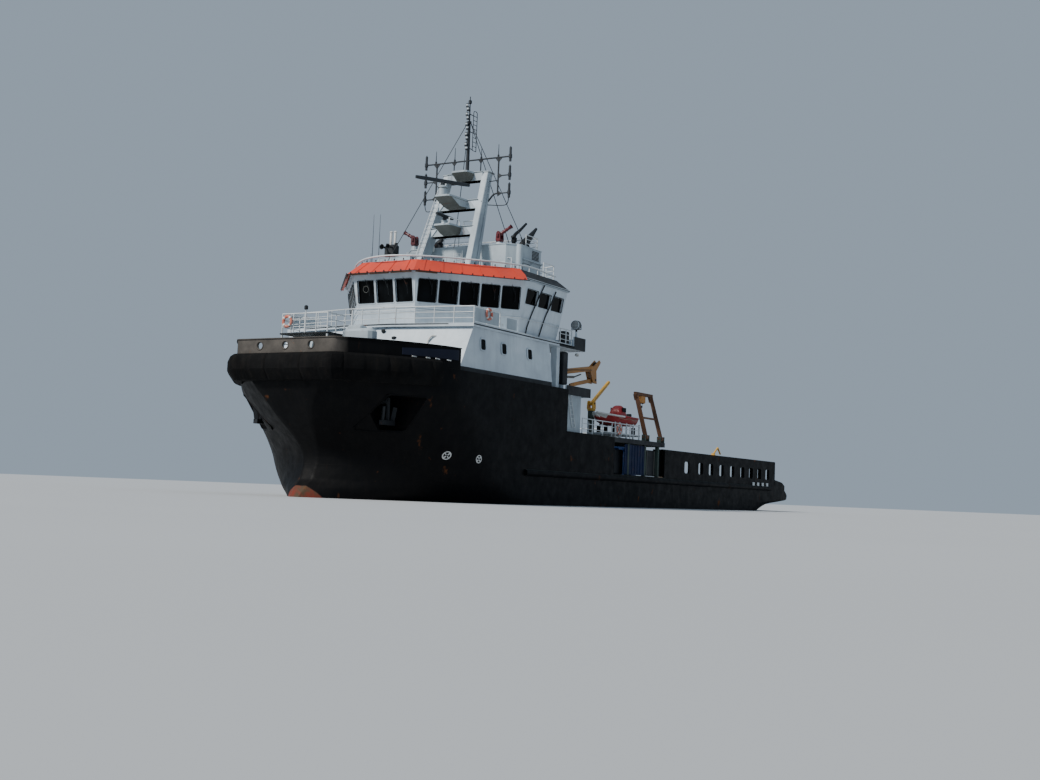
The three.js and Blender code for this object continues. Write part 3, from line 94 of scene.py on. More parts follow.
def prisms(starts, ends, outline, endScale=1.0, upright=(0, 0, 1)):
    # Straight bars, all at once: corner = end point + side * outline x + up * outline y
    starts, ends = np.atleast_2d(np.array(starts, float)), np.atleast_2d(np.array(ends, float))
    ahead = unit(ends - starts)
    level = np.where(np.abs(ahead @ np.array(upright, float))[:, None] > 0.95, [[1.0, 0, 0]], [upright])
    side = unit(np.cross(level, ahead))
    up = np.cross(ahead, side)
    outline = np.asarray(outline, float)
    ring = side[:, None] * outline[:, :1] + up[:, None] * outline[:, 1:]
    rings = np.stack([starts[:, None] + ring, ends[:, None] + ring * endScale], 1)
    count, _, corners, _ = rings.shape
    index = np.arange(count * 2 * corners).reshape(count, 2, corners)
    near, far = index[:, 0], index[:, 1]
    walls = np.stack([near, np.roll(near, -1, 1), np.roll(far, -1, 1), far], -1).reshape(-1, 4)
    return outward(rings.reshape(-1, 3), [walls, near[:, ::-1], far])


def ringOutline(radius, sides=10):
    turn = 2 * np.pi * np.arange(sides) / sides
    return np.stack([radius * np.cos(turn), radius * np.sin(turn)], 1)


def boxOutline(wide, deep, chamfer=0.015):
    # A rectangle with its corners cut, anticlockwise
    w, d = wide / 2, deep / 2
    c = min(chamfer, w * 0.45, d * 0.45)
    return np.array([[w, -d + c], [w, d - c], [w - c, d], [-w + c, d], [-w, d - c], [-w, -d + c], [-w + c, -d],
                     [w - c, -d]])


def rods(starts, ends, radius, sides=10, taper=1.0):
    return prisms(starts, ends, ringOutline(radius, sides), taper)


def beams(starts, ends, wide, deep=None, chamfer=0.015):
    return prisms(starts, ends, boxOutline(wide, deep or wide, chamfer))


def blocks(lows, highs, chamfer=0.02):
    # Boxes with every edge cut: four stacked rings, the first and last drawn in by the chamfer
    lows, highs = np.atleast_2d(np.array(lows, float)), np.atleast_2d(np.array(highs, float))
    lows, highs = np.minimum(lows, highs), np.maximum(lows, highs)
    centre, half = (lows + highs) / 2, (highs - lows) / 2
    cutBack = np.minimum(chamfer, half.min(1) * 0.45)[:, None]
    signs = np.array([[1, -1], [1, 1], [1, 1], [-1, 1], [-1, 1], [-1, -1], [-1, -1], [1, -1]], float)
    pull = np.array([[0, 1], [0, 1], [1, 0], [1, 0], [0, 1], [0, 1], [1, 0], [1, 0]], float)
    flat = signs[None] * (half[:, None, :2] - pull[None] * cutBack[:, None])
    drawn = signs[None] * np.maximum(half[:, None, :2] - pull[None] * cutBack[:, None] - cutBack[:, None], 1e-4)
    heights = [-half[:, 2:], -half[:, 2:] + cutBack, half[:, 2:] - cutBack, half[:, 2:]]
    layers = [np.concatenate([p, np.broadcast_to(h[:, None], (*p.shape[:2], 1))], 2)
              for p, h in zip([drawn, flat, flat, drawn], heights)]
    rings = np.stack(layers, 1) + centre[:, None, None]
    count = len(lows)
    index = np.arange(count * 32).reshape(count, 4, 8)
    near, far = index[:, :-1], index[:, 1:]
    walls = np.stack([near, np.roll(near, -1, 2), np.roll(far, -1, 2), far], -1).reshape(-1, 4)
    return outward(rings.reshape(-1, 3), [walls, index[:, 0, ::-1], index[:, 3]])


def sweep(path, outline, closed=False, upright=(0, 0, 1)):
    # A profile carried along a path: at each point it stands across the mean of the two directions there,
    # and is widened by one over the cosine of half the turn, so bends keep their thickness
    path = np.asarray(path, float)
    outline = np.asarray(outline, float)
    step = np.roll(path, -1, 0) - path
    step /= np.maximum(np.linalg.norm(step, axis=1, keepdims=True), 1e-9)
    before = np.roll(step, 1, 0)
    if not closed:
        step[-1], before[0] = step[-2], step[0]
        before[-1] = step[-2]
    ahead = unit(step + before)
    widen = 1 / np.maximum(np.einsum("ij,ij->i", ahead, step), 0.35)
    side = unit(np.cross(np.broadcast_to(np.array(upright, float), ahead.shape), ahead))
    up = np.cross(ahead, side)
    points = path[:, None] + side[:, None] * outline[:, :1] * widen[:, None, None] + up[:, None] * outline[:, 1:]
    return gridSurface(points, wrapRows=closed)


def revolve(origin, axis, profile, sides=24, closed=False):
    # A profile of (distance along, radius) turned about an axis; closed joins its last point to its first
    axis = unit(np.array(axis, float))
    level = np.array([1.0, 0, 0]) if abs(axis[2]) > 0.9 else np.array([0, 0, 1.0])
    side = unit(np.cross(level, axis))
    up = np.cross(axis, side)
    turn = 2 * np.pi * np.arange(sides) / sides
    spoke = side[None] * np.cos(turn)[:, None] + up[None] * np.sin(turn)[:, None]
    profile = np.asarray(profile, float)
    points = np.array(origin, float) + profile[:, None, :1] * axis + np.maximum(profile[:, None, 1:], 0.001) * spoke[None]
    return gridSurface(points, wrapRows=closed)


def placed(shape, move):
    return shape[0] + np.array(move, float), shape[1]


def merged(shapes):
    vertices, faces, total = [], [], 0
    for corners, blocksOfFaces in shapes:
        vertices.append(corners)
        faces += [block + total for block in blocksOfFaces]
        total += len(corners)
    return np.concatenate(vertices), faces


def path(*points):
    return np.array(points, float)


def spread(x, y, z):
    # Points as rows; each of x, y and z is one number or an array of them
    return np.stack(np.broadcast_arrays(x, y, z), -1).astype(float)


def cutCorners(x0, x1, z0, z1, cut):
    # A rectangle with its corners cut, from its lower edge round
    return [(x0 + cut, z0), (x1 - cut, z0), (x1, z0 + cut), (x1, z1 - cut), (x1 - cut, z1), (x0 + cut, z1), (x0, z1 - cut),
            (x0, z0 + cut)]


def ovalSection(deep, high, across, count):
    # An oval section whose middle is `across` from the axis, for revolve to carry round as a ring
    turn = np.linspace(0, 2 * np.pi, count)[:-1]
    return np.stack([deep * np.sin(turn), across + high * np.cos(turn)], 1)


def smoothPath(points, count=40):
    # A Catmull-Rom curve through the points
    p = np.array(points, float)
    p = np.concatenate([2 * p[:1] - p[1:2], p, 2 * p[-1:] - p[-2:-1]])
    s = np.linspace(0, len(points) - 1 - 1e-6, count)
    i = s.astype(int)
    t = (s - i)[:, None]
    a, b, c, d = p[i], p[i + 1], p[i + 2], p[i + 3]
    return 0.5 * (2 * b + (c - a) * t + (2 * a - 5 * b + 4 * c - d) * t ** 2 + (3 * b - a - 3 * c + d) * t ** 3)


def cutAway(shape, tools):
    # The shape with each tool taken out of it, by exact booleans run once and applied
    def draft(name, parts):
        vertices, faces = parts
        mesh = bpy.data.meshes.new(name)
        mesh.from_pydata(vertices.tolist(), [], [face for block in faces for face in block.tolist()])
        body = bpy.data.objects.new(name, mesh)
        bpy.context.scene.collection.objects.link(body)
        return body
    blank = draft("cutBlank", shape)
    cutters = [draft("cutTool%d" % i, tool) for i, tool in enumerate(tools)]
    for cutter in cutters:
        modifier = blank.modifiers.new("cut", "BOOLEAN")
        modifier.operation, modifier.solver, modifier.object = "DIFFERENCE", "EXACT", cutter
    result = bpy.data.meshes.new_from_object(blank.evaluated_get(bpy.context.evaluated_depsgraph_get()))
    vertices = np.zeros(len(result.vertices) * 3)
    result.vertices.foreach_get("co", vertices)
    sizes = {}
    for polygon in result.polygons:
        sizes.setdefault(len(polygon.vertices), []).append(list(polygon.vertices))
    for leftover in [blank, *cutters]:
        bpy.data.meshes.remove(leftover.data)
    bpy.data.meshes.remove(result)
    return vertices.reshape(-1, 3), [np.array(faces) for faces in sizes.values()]


def makePiece(name, parts, node="", smooth=32, also=None):
    # parts is {finish name: [shapes]}; node is the CAD node that the piece stands for, whose body it rides on;
    # also is {finish name: test of face centres and normals} for faces that differ
    allShapes, materialIndex = [], []
    for number, shapes in enumerate(parts.values()):
        for shape in shapes:
            allShapes.append(shape)
            materialIndex += [number] * sum(len(block) for block in shape[1])
    vertices, faces = merged(allShapes)
    materialIndex = np.array(materialIndex, np.int32)
    names = list(parts)
    for finishName, test in (also or {}).items():
        corners = [vertices[block] for block in faces]
        centre = np.concatenate([p.mean(1) for p in corners])
        normal = np.concatenate([np.cross(p[:, 2] - p[:, 0], p[:, 3 % p.shape[1]] - p[:, 1]) for p in corners])
        normal /= np.maximum(np.linalg.norm(normal, axis=1, keepdims=True), 1e-12)
        if finishName not in names:
            names.append(finishName)
        chosen = test(centre, normal) & (materialIndex == 0)
        materialIndex = np.where(chosen, names.index(finishName), materialIndex)
    mesh = bpy.data.meshes.new(name)
    mesh.from_pydata((vertices * modelScale).tolist(), [], [face for block in faces for face in block.tolist()])
    for finishName in names:
        mesh.materials.append(finishes[finishName])
    mesh.polygons.foreach_set("material_index", materialIndex.astype(np.int32))
    mesh.polygons.foreach_set("use_smooth", np.ones(len(mesh.polygons), bool))
    mesh.set_sharp_from_angle(angle=math.radians(smooth))
    mesh.update()
    piece = bpy.data.objects.new(name, mesh)
    bpy.context.scene.collection.objects.link(piece)
    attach(piece, node if node in frame["bodies"] else "ship")
    if node:
        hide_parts(node)


# Finishes: procedural paints, metals, rubber, timber and glass, all on object coordinates

finishSettings = {
    # base and shade are the two paint tones, worn by grime that runs down and rust that breaks through
    "hullPaint": dict(base=(0.0013, 0.0015, 0.0022), shade=(0.003, 0.0032, 0.0038), rough=0.55, shine=0.1, grime=0.15,
                      rust=0.05, bump=0.22, plates=0.2),
    "fenderRubber": dict(base=(0.0025, 0.0026, 0.003), shade=(0.006, 0.0062, 0.0065), rough=0.85, shine=0.1, bump=0.5),
    "houseWhite": dict(base=(0.62, 0.70, 0.76), shade=(0.47, 0.54, 0.6), rough=0.45, rust=0.1, bump=0.12, plates=0.06),
    "mastGrey": dict(base=(0.42, 0.49, 0.535), shade=(0.3, 0.355, 0.4), rough=0.5, grime=0.4, rust=0.12, bump=0.12),
    # This dark grey is painted shade on the mast's undersides, and the plain colour of a clear-view ring and some plate
    # ribs
    "mastShadeAndDarkGrey": dict(base=(0.15, 0.155, 0.14), shade=(0.09, 0.095, 0.085), rough=0.7, grime=0.5, rust=0.2, bump=0.15),
    "visorOrange": dict(base=(0.66, 0.055, 0.02), shade=(0.52, 0.05, 0.025), rough=0.45, grime=0.2, bump=0.08),
    "deckGreen": dict(base=(0.045, 0.075, 0.065), shade=(0.07, 0.085, 0.075), rough=0.8, grime=0.5, rust=0.3, bump=0.35),
    "darkSteel": dict(base=(0.01, 0.012, 0.016), shade=(0.026, 0.03, 0.034), rough=0.55, metal=0.3, shine=0.3, rust=0.2,
                      bump=0.25),
    "bronze": dict(base=(0.42, 0.26, 0.09), shade=(0.2, 0.18, 0.1), rough=0.32, metal=0.95, grime=0.4),
    "monitorRed": dict(base=(0.12, 0.005, 0.012), shade=(0.075, 0.008, 0.014), rough=0.4, grime=0.25, rust=0.05, bump=0.08),
    "craneYellow": dict(base=(0.68, 0.36, 0.03), shade=(0.48, 0.28, 0.05), rough=0.5, grime=0.4, rust=0.2, bump=0.12),
    "davitOrange": dict(base=(0.46, 0.19, 0.025), shade=(0.32, 0.15, 0.04), rough=0.5, grime=0.45, rust=0.3, bump=0.15),
    # Brown paint whose base is darkened to the A-frame's tone in shade: partly painted shade
    "rustBrown": dict(base=(0.1, 0.05, 0.028), shade=(0.17, 0.07, 0.03), rough=0.8, grime=0.4, rust=0.6, bump=0.4),
    "boatRed": dict(base=(0.42, 0.018, 0.022), shade=(0.3, 0.03, 0.03), rough=0.35, grime=0.2, bump=0.05),
    "boatWhite": dict(base=(0.72, 0.72, 0.70), shade=(0.55, 0.55, 0.53), rough=0.35, grime=0.25, bump=0.05),
    "winchBlue": dict(base=(0.02, 0.085, 0.33), shade=(0.03, 0.07, 0.2), rough=0.5, grime=0.4, rust=0.3, bump=0.15),
    # A darkened copy of the winch's blue: painted shade for the screen under the boat deck
    "shadedScreenBlue": dict(base=(0.006, 0.018, 0.075), shade=(0.008, 0.016, 0.05), rough=0.6, shine=0.2, grime=0.4, rust=0.2,
                       bump=0.15),
    "railWhite": dict(base=(0.66, 0.70, 0.72), shade=(0.5, 0.54, 0.56), rough=0.45, rust=0.22, bump=0.08),
    "antennaDark": dict(base=(0.014, 0.018, 0.024), shade=(0.035, 0.042, 0.05), rough=0.55, shine=0.3, grime=0.2, rust=0.05,
                        bump=0.05),
    "boardNavy": dict(base=(0.004, 0.007, 0.02), shade=(0.007, 0.01, 0.026), rough=0.45, shine=0.2, grime=0.2, bump=0.03),
    "lampGlass": dict(base=(0.62, 0.66, 0.68), shade=(0.5, 0.54, 0.56), rough=0.12, grime=0.1, bump=0.0),
    "wireSteel": dict(base=(0.12, 0.12, 0.12), shade=(0.2, 0.19, 0.17), rough=0.45, metal=0.8, grime=0.4, rust=0.25,
                      bump=0.3),
    "ropeTan": dict(base=(0.42, 0.36, 0.25), shade=(0.3, 0.26, 0.19), rough=0.95, grime=0.4, bump=0.6),
    "lifebuoyOrange": dict(base=(0.55, 0.11, 0.06), shade=(0.5, 0.2, 0.15), rough=0.5, grime=0.15, bump=0.05),
}


class nodeBench:
    # A short way to wire a material: make(kind, inputs) places a node and joins or sets its sockets
    def __init__(self, name):
        self.material = bpy.data.materials.new(name)
        self.material.use_nodes = True
        self.tree = self.material.node_tree
        self.tree.nodes.clear()

    def feed(self, socket, value):
        if isinstance(value, bpy.types.NodeSocket):
            self.tree.links.new(value, socket)
        else:
            socket.default_value = value

    def make(self, kind, inputs=None, **settings):
        node = self.tree.nodes.new("ShaderNode" + kind)
        for key, value in settings.items():
            setattr(node, key, value)
        for key, value in (inputs or {}).items():
            self.feed(node.inputs[key], value)
        return node

    def place(self):
        return self.make("TexCoord").outputs["Object"]

    def ramp(self, value, low, high, toLow=0.0, toHigh=1.0):
        return self.make("MapRange", {"Value": value, "From Min": low, "From Max": high, "To Min": toLow,
                                      "To Max": toHigh}).outputs[0]

    def spots(self, place, size, detail, low, high, stretch=(1, 1, 1)):
        # A noise read through two thresholds, as a 0 to 1 mask
        mapped = self.make("Mapping", {"Vector": place, "Scale": tuple(size * s for s in stretch)})
        noise = self.make("TexNoise", {"Vector": mapped.outputs[0], "Scale": 1.0, "Detail": detail, "Roughness": 0.6})
        return self.ramp(noise.outputs[0], low, high)

    def blend(self, factor, first, second):
        node = self.make("Mix", data_type="RGBA")
        for socket, value in ((0, factor), (6, first), (7, second)):
            self.feed(node.inputs[socket], (*value, 1) if isinstance(value, tuple) else value)
        return node.outputs[2]

    def maths(self, operation, first, second):
        return self.make("Math", {0: first, 1: second}, operation=operation).outputs[0]

    def times(self, value, factor, plus=0.0):
        return self.make("Math", {0: value, 1: factor, 2: plus}, operation="MULTIPLY_ADD").outputs[0]

    def close(self, shader):
        self.make("OutputMaterial", {"Surface": shader.outputs[0]})
        return self.material


def paintFinish(name, base, shade, rough, grime=0.3, rust=0.0, bump=0.1, metal=0.0, plates=0.0, shine=0.5,
                antifouling=False, paintedLitFront=False):
    # Paint in two tones, grime in streaks that run down, rust in patches with a halo, and plate seams as a bump
    bench = nodeBench(name)
    place = bench.place()
    colour = bench.blend(bench.spots(place, 4.0, 5.0, 0.38, 0.64), base, shade)
    streak = bench.spots(place, 9.0, 6.0, 0.5, 0.78, (3.0, 3.0, 0.35))
    dirt = tuple(0.45 * value + 0.02 * tint for value, tint in zip(base, (1.0, 0.8, 0.6)))
    colour = bench.blend(bench.times(streak, grime), colour, dirt)
    masks = None
    if antifouling:
        # The red-brown shows above the water only at the stem, where its edge climbs
        parts = bench.make("SeparateXYZ", {"Vector": place})
        rise = bench.ramp(parts.outputs[0], 2.76, 2.86, -0.02, 0.12)
        waterHeight = bench.times(bench.spots(place, 22.0, 6.0, 0.0, 1.0), 0.02, rise)
        mask = bench.ramp(bench.maths("SUBTRACT", waterHeight, parts.outputs[2]), 0.012, 0.02)
        growth = bench.blend(bench.spots(place, 14.0, 6.0, 0.42, 0.6), (0.16, 0.03, 0.02), (0.07, 0.045, 0.028))
        colour = bench.blend(mask, colour, growth)
    if paintedLitFront:
        # Painted highlight: the bulwark's front is painted a lighter dark grey-brown, as where it faces the light,
        # black again round each shoulder where it turns away
        parts = bench.make("SeparateXYZ", {"Vector": place})
        edge = bench.times(bench.spots(place, 8.0, 6.0, 0.0, 1.0, (1.0, 1.0, 0.4)), 0.06, parts.outputs[0])
        mask = bench.ramp(edge, 3.0, 3.04)
        pale = bench.blend(bench.spots(place, 9.0, 5.0, 0.4, 0.65), (0.06, 0.055, 0.05), (0.1, 0.09, 0.08))
        colour = bench.blend(mask, colour, pale)
    if rust > 0:
        patches = bench.spots(place, 13.0, 8.0, 0.66 - 0.1 * rust, 0.74 - 0.06 * rust, (1.0, 1.0, 0.6))
        runs = bench.spots(place, 20.0, 5.0, 0.68 - 0.08 * rust, 0.84, (2.2, 2.2, 0.22))
        masks = bench.maths("MAXIMUM", patches, bench.times(runs, 0.7))
        rustColour = bench.blend(bench.spots(place, 60.0, 4.0, 0.3, 0.7), (0.13, 0.045, 0.016), (0.3, 0.11, 0.035))
        colour = bench.blend(bench.times(masks, min(1.0, 0.35 + rust)), colour, rustColour)
    roughness = bench.times(bench.spots(place, 17.0, 5.0, 0.3, 0.75), 0.22, rough - 0.08)
    if masks is not None:
        roughness = bench.maths("ADD", roughness, bench.times(masks, 0.3))
    shader = bench.make("BsdfPrincipled", {"Base Color": colour, "Roughness": roughness, "Metallic": metal,
                                           "Specular IOR Level": shine})
    if bump > 0:
        height = bench.spots(place, 45.0, 5.0, 0.2, 0.8)
        if masks is not None:
            height = bench.maths("ADD", bench.times(masks, 0.8), height)
        normal = bench.make("Bump", {"Height": height, "Strength": min(1.0, bump), "Distance": 0.0025}).outputs[0]
        if plates:
            swung = bench.make("Mapping", {"Vector": place, "Rotation": (math.pi / 2, 0, 0)})
            seams = bench.make("TexBrick", {"Vector": swung.outputs[0], "Scale": 1.0, "Mortar Size": 0.0016,
                                            "Mortar Smooth": 1.0, "Brick Width": 0.62, "Row Height": 0.19})
            dishing = bench.spots(place, 5.0, 2.0, 0.2, 0.8, (1.0, 1.0, 2.2))
            relief = bench.maths("ADD", seams.outputs["Fac"], bench.times(dishing, 2.2))
            normal = bench.make("Bump", {"Height": relief, "Strength": plates, "Distance": 0.006,
                                         "Normal": normal}).outputs[0]
        bench.feed(shader.inputs["Normal"], normal)
    return bench.close(shader)


def glassFinish(name):
    # Dark tinted window glass with a faint film of salt
    bench = nodeBench(name)
    film = bench.spots(bench.place(), 12.0, 5.0, 0.45, 0.8, (1.0, 1.0, 0.5))
    colour = bench.blend(film, (0.002, 0.0025, 0.003), (0.007, 0.009, 0.011))
    return bench.close(bench.make("BsdfPrincipled", {"Base Color": colour, "Roughness": bench.times(film, 0.16, 0.04),
                                                     "Specular IOR Level": 0.05}))


def timberFinish(name):
    # Weathered planks: grain drawn out along the ship, grey over brown, darker where gear has dragged
    bench = nodeBench(name)
    place = bench.place()
    grain = bench.spots(place, 30.0, 8.0, 0.3, 0.7, (0.12, 3.0, 3.0))
    colour = bench.blend(grain, (0.14, 0.095, 0.06), (0.27, 0.22, 0.17))
    scuffs = bench.spots(place, 5.0, 6.0, 0.5, 0.7)
    colour = bench.blend(bench.times(scuffs, 0.6), colour, (0.06, 0.05, 0.042))
    shader = bench.make("BsdfPrincipled", {"Base Color": colour, "Roughness": bench.times(grain, 0.15, 0.75)})
    normal = bench.make("Bump", {"Height": grain, "Strength": 0.5, "Distance": 0.002})
    bench.feed(shader.inputs["Normal"], normal.outputs[0])
    return bench.close(shader)


finishes = {name: paintFinish(name, antifouling=name == "hullPaint", **settings)
            for name, settings in finishSettings.items()}
# The bow bulwark's paint has a painted highlight on its front
finishes["bulwarkPaint"] = paintFinish("bulwarkPaint", paintedLitFront=True, **finishSettings["hullPaint"])
finishes["windowGlass"] = glassFinish("windowGlass")
finishes["deckTimber"] = timberFinish("deckTimber")

# The CAD nodes that stay are given the finish of their slot
slotFinish = {"hullBlack": "hullPaint", "fenderBlack": "fenderRubber", "glass": "windowGlass", "timber": "deckTimber"}
for subpart in frame["record"]["subparts"]:
    slotName = subpart["material_slot"]
    for place in frame["nodes"][subpart["node"]].material_slots:
        place.material = finishes[slotFinish.get(slotName, slotName)]
# Painted shade: the after house is given the grey finish in place of its own white paint
for place in frame["nodes"]["after_house"].material_slots:
    place.material = finishes["mastGrey"]
print("finishes made:", len(finishes))

# Hull: one skin through the waterlines, cut down at the decks

level = {"main": 2.3, "boat": 4.86, "fore": 7.6, "bulwarkTop": 8.85, "roofTop": 14.75, "casingTop": 17.0}
hullLines = {
    # z, aft, aftHalf, run, half, shoulder, front, frontHalf, power
    "table": np.array([
        (-4.1, -13.0, 0.8, -4.0, 5.4, 6.0, 24.0, 0.3, 1.5),
        (-3.8, -14.5, 1.2, -6.0, 6.7, 7.5, 28.0, 0.4, 1.6),
        (-3.2, -16.8, 2.6, -9.0, 7.3, 9.0, 29.6, 0.5, 1.7),
        (-2.2, -19.5, 4.4, -12.5, 7.45, 11.0, 30.2, 0.5, 1.8),
        (-1.2, -22.0, 5.8, -16.0, 7.45, 12.0, 29.9, 0.4, 1.85),
        (-0.3, -24.2, 6.8, -19.0, 7.45, 14.0, 29.0, 0.3, 1.9),
        (0.6, -27.2, 6.9, -22.0, 7.45, 16.0, 28.3, 0.35, 2.5),
        (1.1, -32.1, 7.1, -28.2, 7.45, 17.3, 27.8, 0.4, 2.7),
        (2.3, -32.3, 7.1, -28.7, 7.45, 18.5, 27.5, 0.5, 3.0),
        (4.86, -32.3, 7.1, -28.7, 7.45, 21.0, 29.3, 1.4, 2.5),
        (6.2, -32.3, 7.1, -28.7, 7.45, 22.5, 29.9, 2.3, 2.5),
        (7.6, -32.3, 7.1, -28.7, 7.45, 22.5, 30.2, 3.5, 2.0)]),
    "sternSteps": 14, "sideSteps": 34, "bowSteps": 46, "transomSteps": 4, "stemSteps": 4,
    "strakeZ": 2.0, "strakeRadius": 0.2, "pocketY": 4.1, "tunnelXs": (24.6, 21.3), "tunnelZ": -2.4, "tunnelRadius": 0.75,
    "rollerX": -31.4, "rollerZ": 1.15, "rollerHalf": 2.7, "pinX": -27.6, "pinY": 1.1,
    "shaftY": 3.6, "shaftZ": -2.3, "propellerX": -24.3, "rudderX": -26.0,
}


def monotoneColumns(z, values, at):
    # Piecewise cubic through each column with the slopes of a monotone curve, so no bump grows between waterlines
    step = np.diff(z)
    rate = np.diff(values, axis=0) / step[:, None]
    slope = np.zeros_like(values)
    together = rate[:-1] * rate[1:] > 0
    w1, w2 = (2 * step[1:] + step[:-1])[:, None], (step[1:] + 2 * step[:-1])[:, None]
    with np.errstate(divide="ignore", invalid="ignore"):
        mean = (w1 + w2) / (w1 / rate[:-1] + w2 / rate[1:])
    slope[1:-1] = np.where(together, mean, 0)
    slope[0], slope[-1] = rate[0], rate[-1]
    i = np.clip(np.searchsorted(z, at, side="right") - 1, 0, len(z) - 2)
    t = ((at - z[i]) / step[i])[:, None]
    h = step[i][:, None]
    return ((2 * t ** 3 - 3 * t ** 2 + 1) * values[i] + (t ** 3 - 2 * t ** 2 + t) * h * slope[i]
            + (-2 * t ** 3 + 3 * t ** 2) * values[i + 1] + (t ** 3 - t ** 2) * h * slope[i + 1])


def waterline(z, outset=0.0):
    # Plan of the hull at each height, port side from the stern round to starboard: a quarter ellipse at the stern,
    # the straight side, and y = front half + (half - front half)(1 - s^power) to the bow
    z = np.atleast_1d(np.array(z, float))
    rows = monotoneColumns(hullLines["table"][:, 0], hullLines["table"][:, 1:], z)
    aft, aftHalf, run, half, shoulder, front, frontHalf, power = (column[:, None] for column in rows.T)
    c = hullLines
    u = np.linspace(0, 1, c["transomSteps"], endpoint=False)[None]
    turn = np.linspace(0, np.pi / 2, c["sternSteps"], endpoint=False)[None]
    w = np.linspace(0, 1, c["sideSteps"], endpoint=False)[None]
    s = 1 - (1 - np.linspace(0, 1, c["bowSteps"]))[None] ** 1.35
    v = np.linspace(1, 0, c["stemSteps"] + 1)[None, 1:]
    x = np.concatenate([aft + 0 * u, run - (run - aft) * np.cos(turn), run + (shoulder - run) * w,
                        shoulder + (front - shoulder) * s, front + 0 * v], 1)
    y = np.concatenate([aftHalf * u, aftHalf + (half - aftHalf) * np.sin(turn), half + 0 * w,
                        frontHalf + (half - frontHalf) * (1 - s ** power), frontHalf * v], 1)
    x, y = np.concatenate([x, x[:, -2:0:-1]], 1), np.concatenate([y, -y[:, -2:0:-1]], 1)
    if outset:
        # Each point moves out along the mean normal of its two edges
        ahead = np.stack([np.roll(x, -1, 1) - np.roll(x, 1, 1), np.roll(y, -1, 1) - np.roll(y, 1, 1)], -1)
        ahead /= np.maximum(np.linalg.norm(ahead, axis=2, keepdims=True), 1e-9)
        x, y = x - ahead[..., 1] * outset, y + ahead[..., 0] * outset
    return np.stack([x, y, np.broadcast_to(z[:, None], x.shape)], -1)


def deckEdge(fromX, toX, outset=0.0, z=7.6):
    # The port side's deck edge between two stations
    ring = waterline([z], outset)[0]
    port = ring[:len(ring) // 2 + 1]
    kept = port[(port[:, 0] >= fromX) & (port[:, 0] <= toX) & (port[:, 1] > -0.001)]
    first = port[np.argmax(port[:, 0] >= fromX)]
    start = np.array([[fromX, first[1], z]])
    return np.concatenate([start, kept[kept[:, 0] > fromX + 0.02]])


def roundBow(fromX, outset=0.0, z=7.6):
    # The same edge right round the bow, port side first
    side = deckEdge(fromX, 99, outset, z)
    return np.concatenate([side, side[-2::-1] * np.array([1, -1, 1])])


def extruded(outline, low, high, axis="z"):
    # A flat outline given thickness along an axis: its points are (x, y), but (x, z) along y and (y, z) along x
    outline = np.asarray(outline, float).T
    return gridSurface(np.stack([spread(*np.insert(outline, "xyz".index(axis), side, 0)) for side in (low, high)]))


anchorPocket = cutCorners(25.7, 27.5, 3.9, 5.9, 0.1)


def makeHull():
    c = hullLines
    heights = np.unique(np.concatenate([np.linspace(-4.1, 7.6, 79), c["table"][:, 0]]))
    body = gridSurface(waterline(heights))
    steps = [(-36, -0.17), (-29.9, level["main"]), (3.9, level["main"]), (3.9, level["boat"]), (10.8, level["boat"])]
    decks = extruded([*steps, (10.8, 9), (-36, 9)], -9, 9, "y")
    bay = c["rollerX"] + 1.1
    tools = [decks, extruded([(-35, 2.8), (bay, 2.8), (bay, -2.8), (-35, -2.8)], -1, 4)]
    for x in c["tunnelXs"]:
        tools.append(rods((x, -8, c["tunnelZ"]), (x, 8, c["tunnelZ"]), c["tunnelRadius"], 40))
    for side in (1, -1):
        tools.append(extruded(np.roll(anchorPocket, 1, 0), side * c["pocketY"], side * 8, "y"))
        tools.append(rods((c["pinX"], side * c["pinY"], 0.9), (c["pinX"], side * c["pinY"], 3.3), 0.26, 24))
    shell = cutAway(body, tools)
    side = np.array([1.0, -1.0])
    y = side * c["shaftY"]
    # Rubbing strakes, shaft bossings and their struts, rudder trunks, and cheeks beside the stern roller
    extras = [
        rods(spread(-27.0, side * 7.45, c["strakeZ"]), spread(16.0, side * 7.45, c["strakeZ"]), c["strakeRadius"], 16),
        rods(spread(-15.0, y, -2.0), spread(c["propellerX"] + 0.41, y, c["shaftZ"]), 0.45, 24, 0.66),
        beams(spread(-22.6, y, c["shaftZ"]), spread(-22.6, y, -0.4), 0.5, 0.16, 0.06),
        rods(spread(c["rudderX"], y, -0.42), spread(c["rudderX"], y, 1.0), 0.28, 20),
        blocks(spread(c["rollerX"] - 0.5, side * 2.76, 0.4), spread(c["rollerX"] + 1.2, side * 3.3, 1.7), 0.06),
    ]
    for x in c["tunnelXs"]:
        pod = [(0, 0), (0.04, 0.09), (0.2, 0.16), (0.8, 0.16), (0.83, 0)]
        extras.append(revolve((x, -0.95, c["tunnelZ"]), (0, 1, 0), pod, 20))
        extras.append(beams((x, -0.6, c["tunnelZ"]), (x, -0.6, c["tunnelZ"] + 0.8), 0.1, 0.2))

    def onDeck(centre, normal):
        return (normal[:, 2] > 0.9) & (centre[:, 2] > 2.0)
    makePiece("hullSkin", {"hullPaint": [shell, *extras]}, "hull", also={"deckGreen": onDeck})


makeHull()
print("hull made")

# Bow fender, bulwark and its fittings

fenderPlan = {
    "aft": 25.2, "profile": [(-0.35, 6.45), (0.13, 6.5), (0.45, 6.95), (0.52, 7.1), (0.52, 7.55), (0.4, 7.85), (0.2, 8.0),
                             (0.01, 8.0), (0.01, 7.6)],
    "grooveEvery": 1.25, "grooveDeep": 0.05,
}


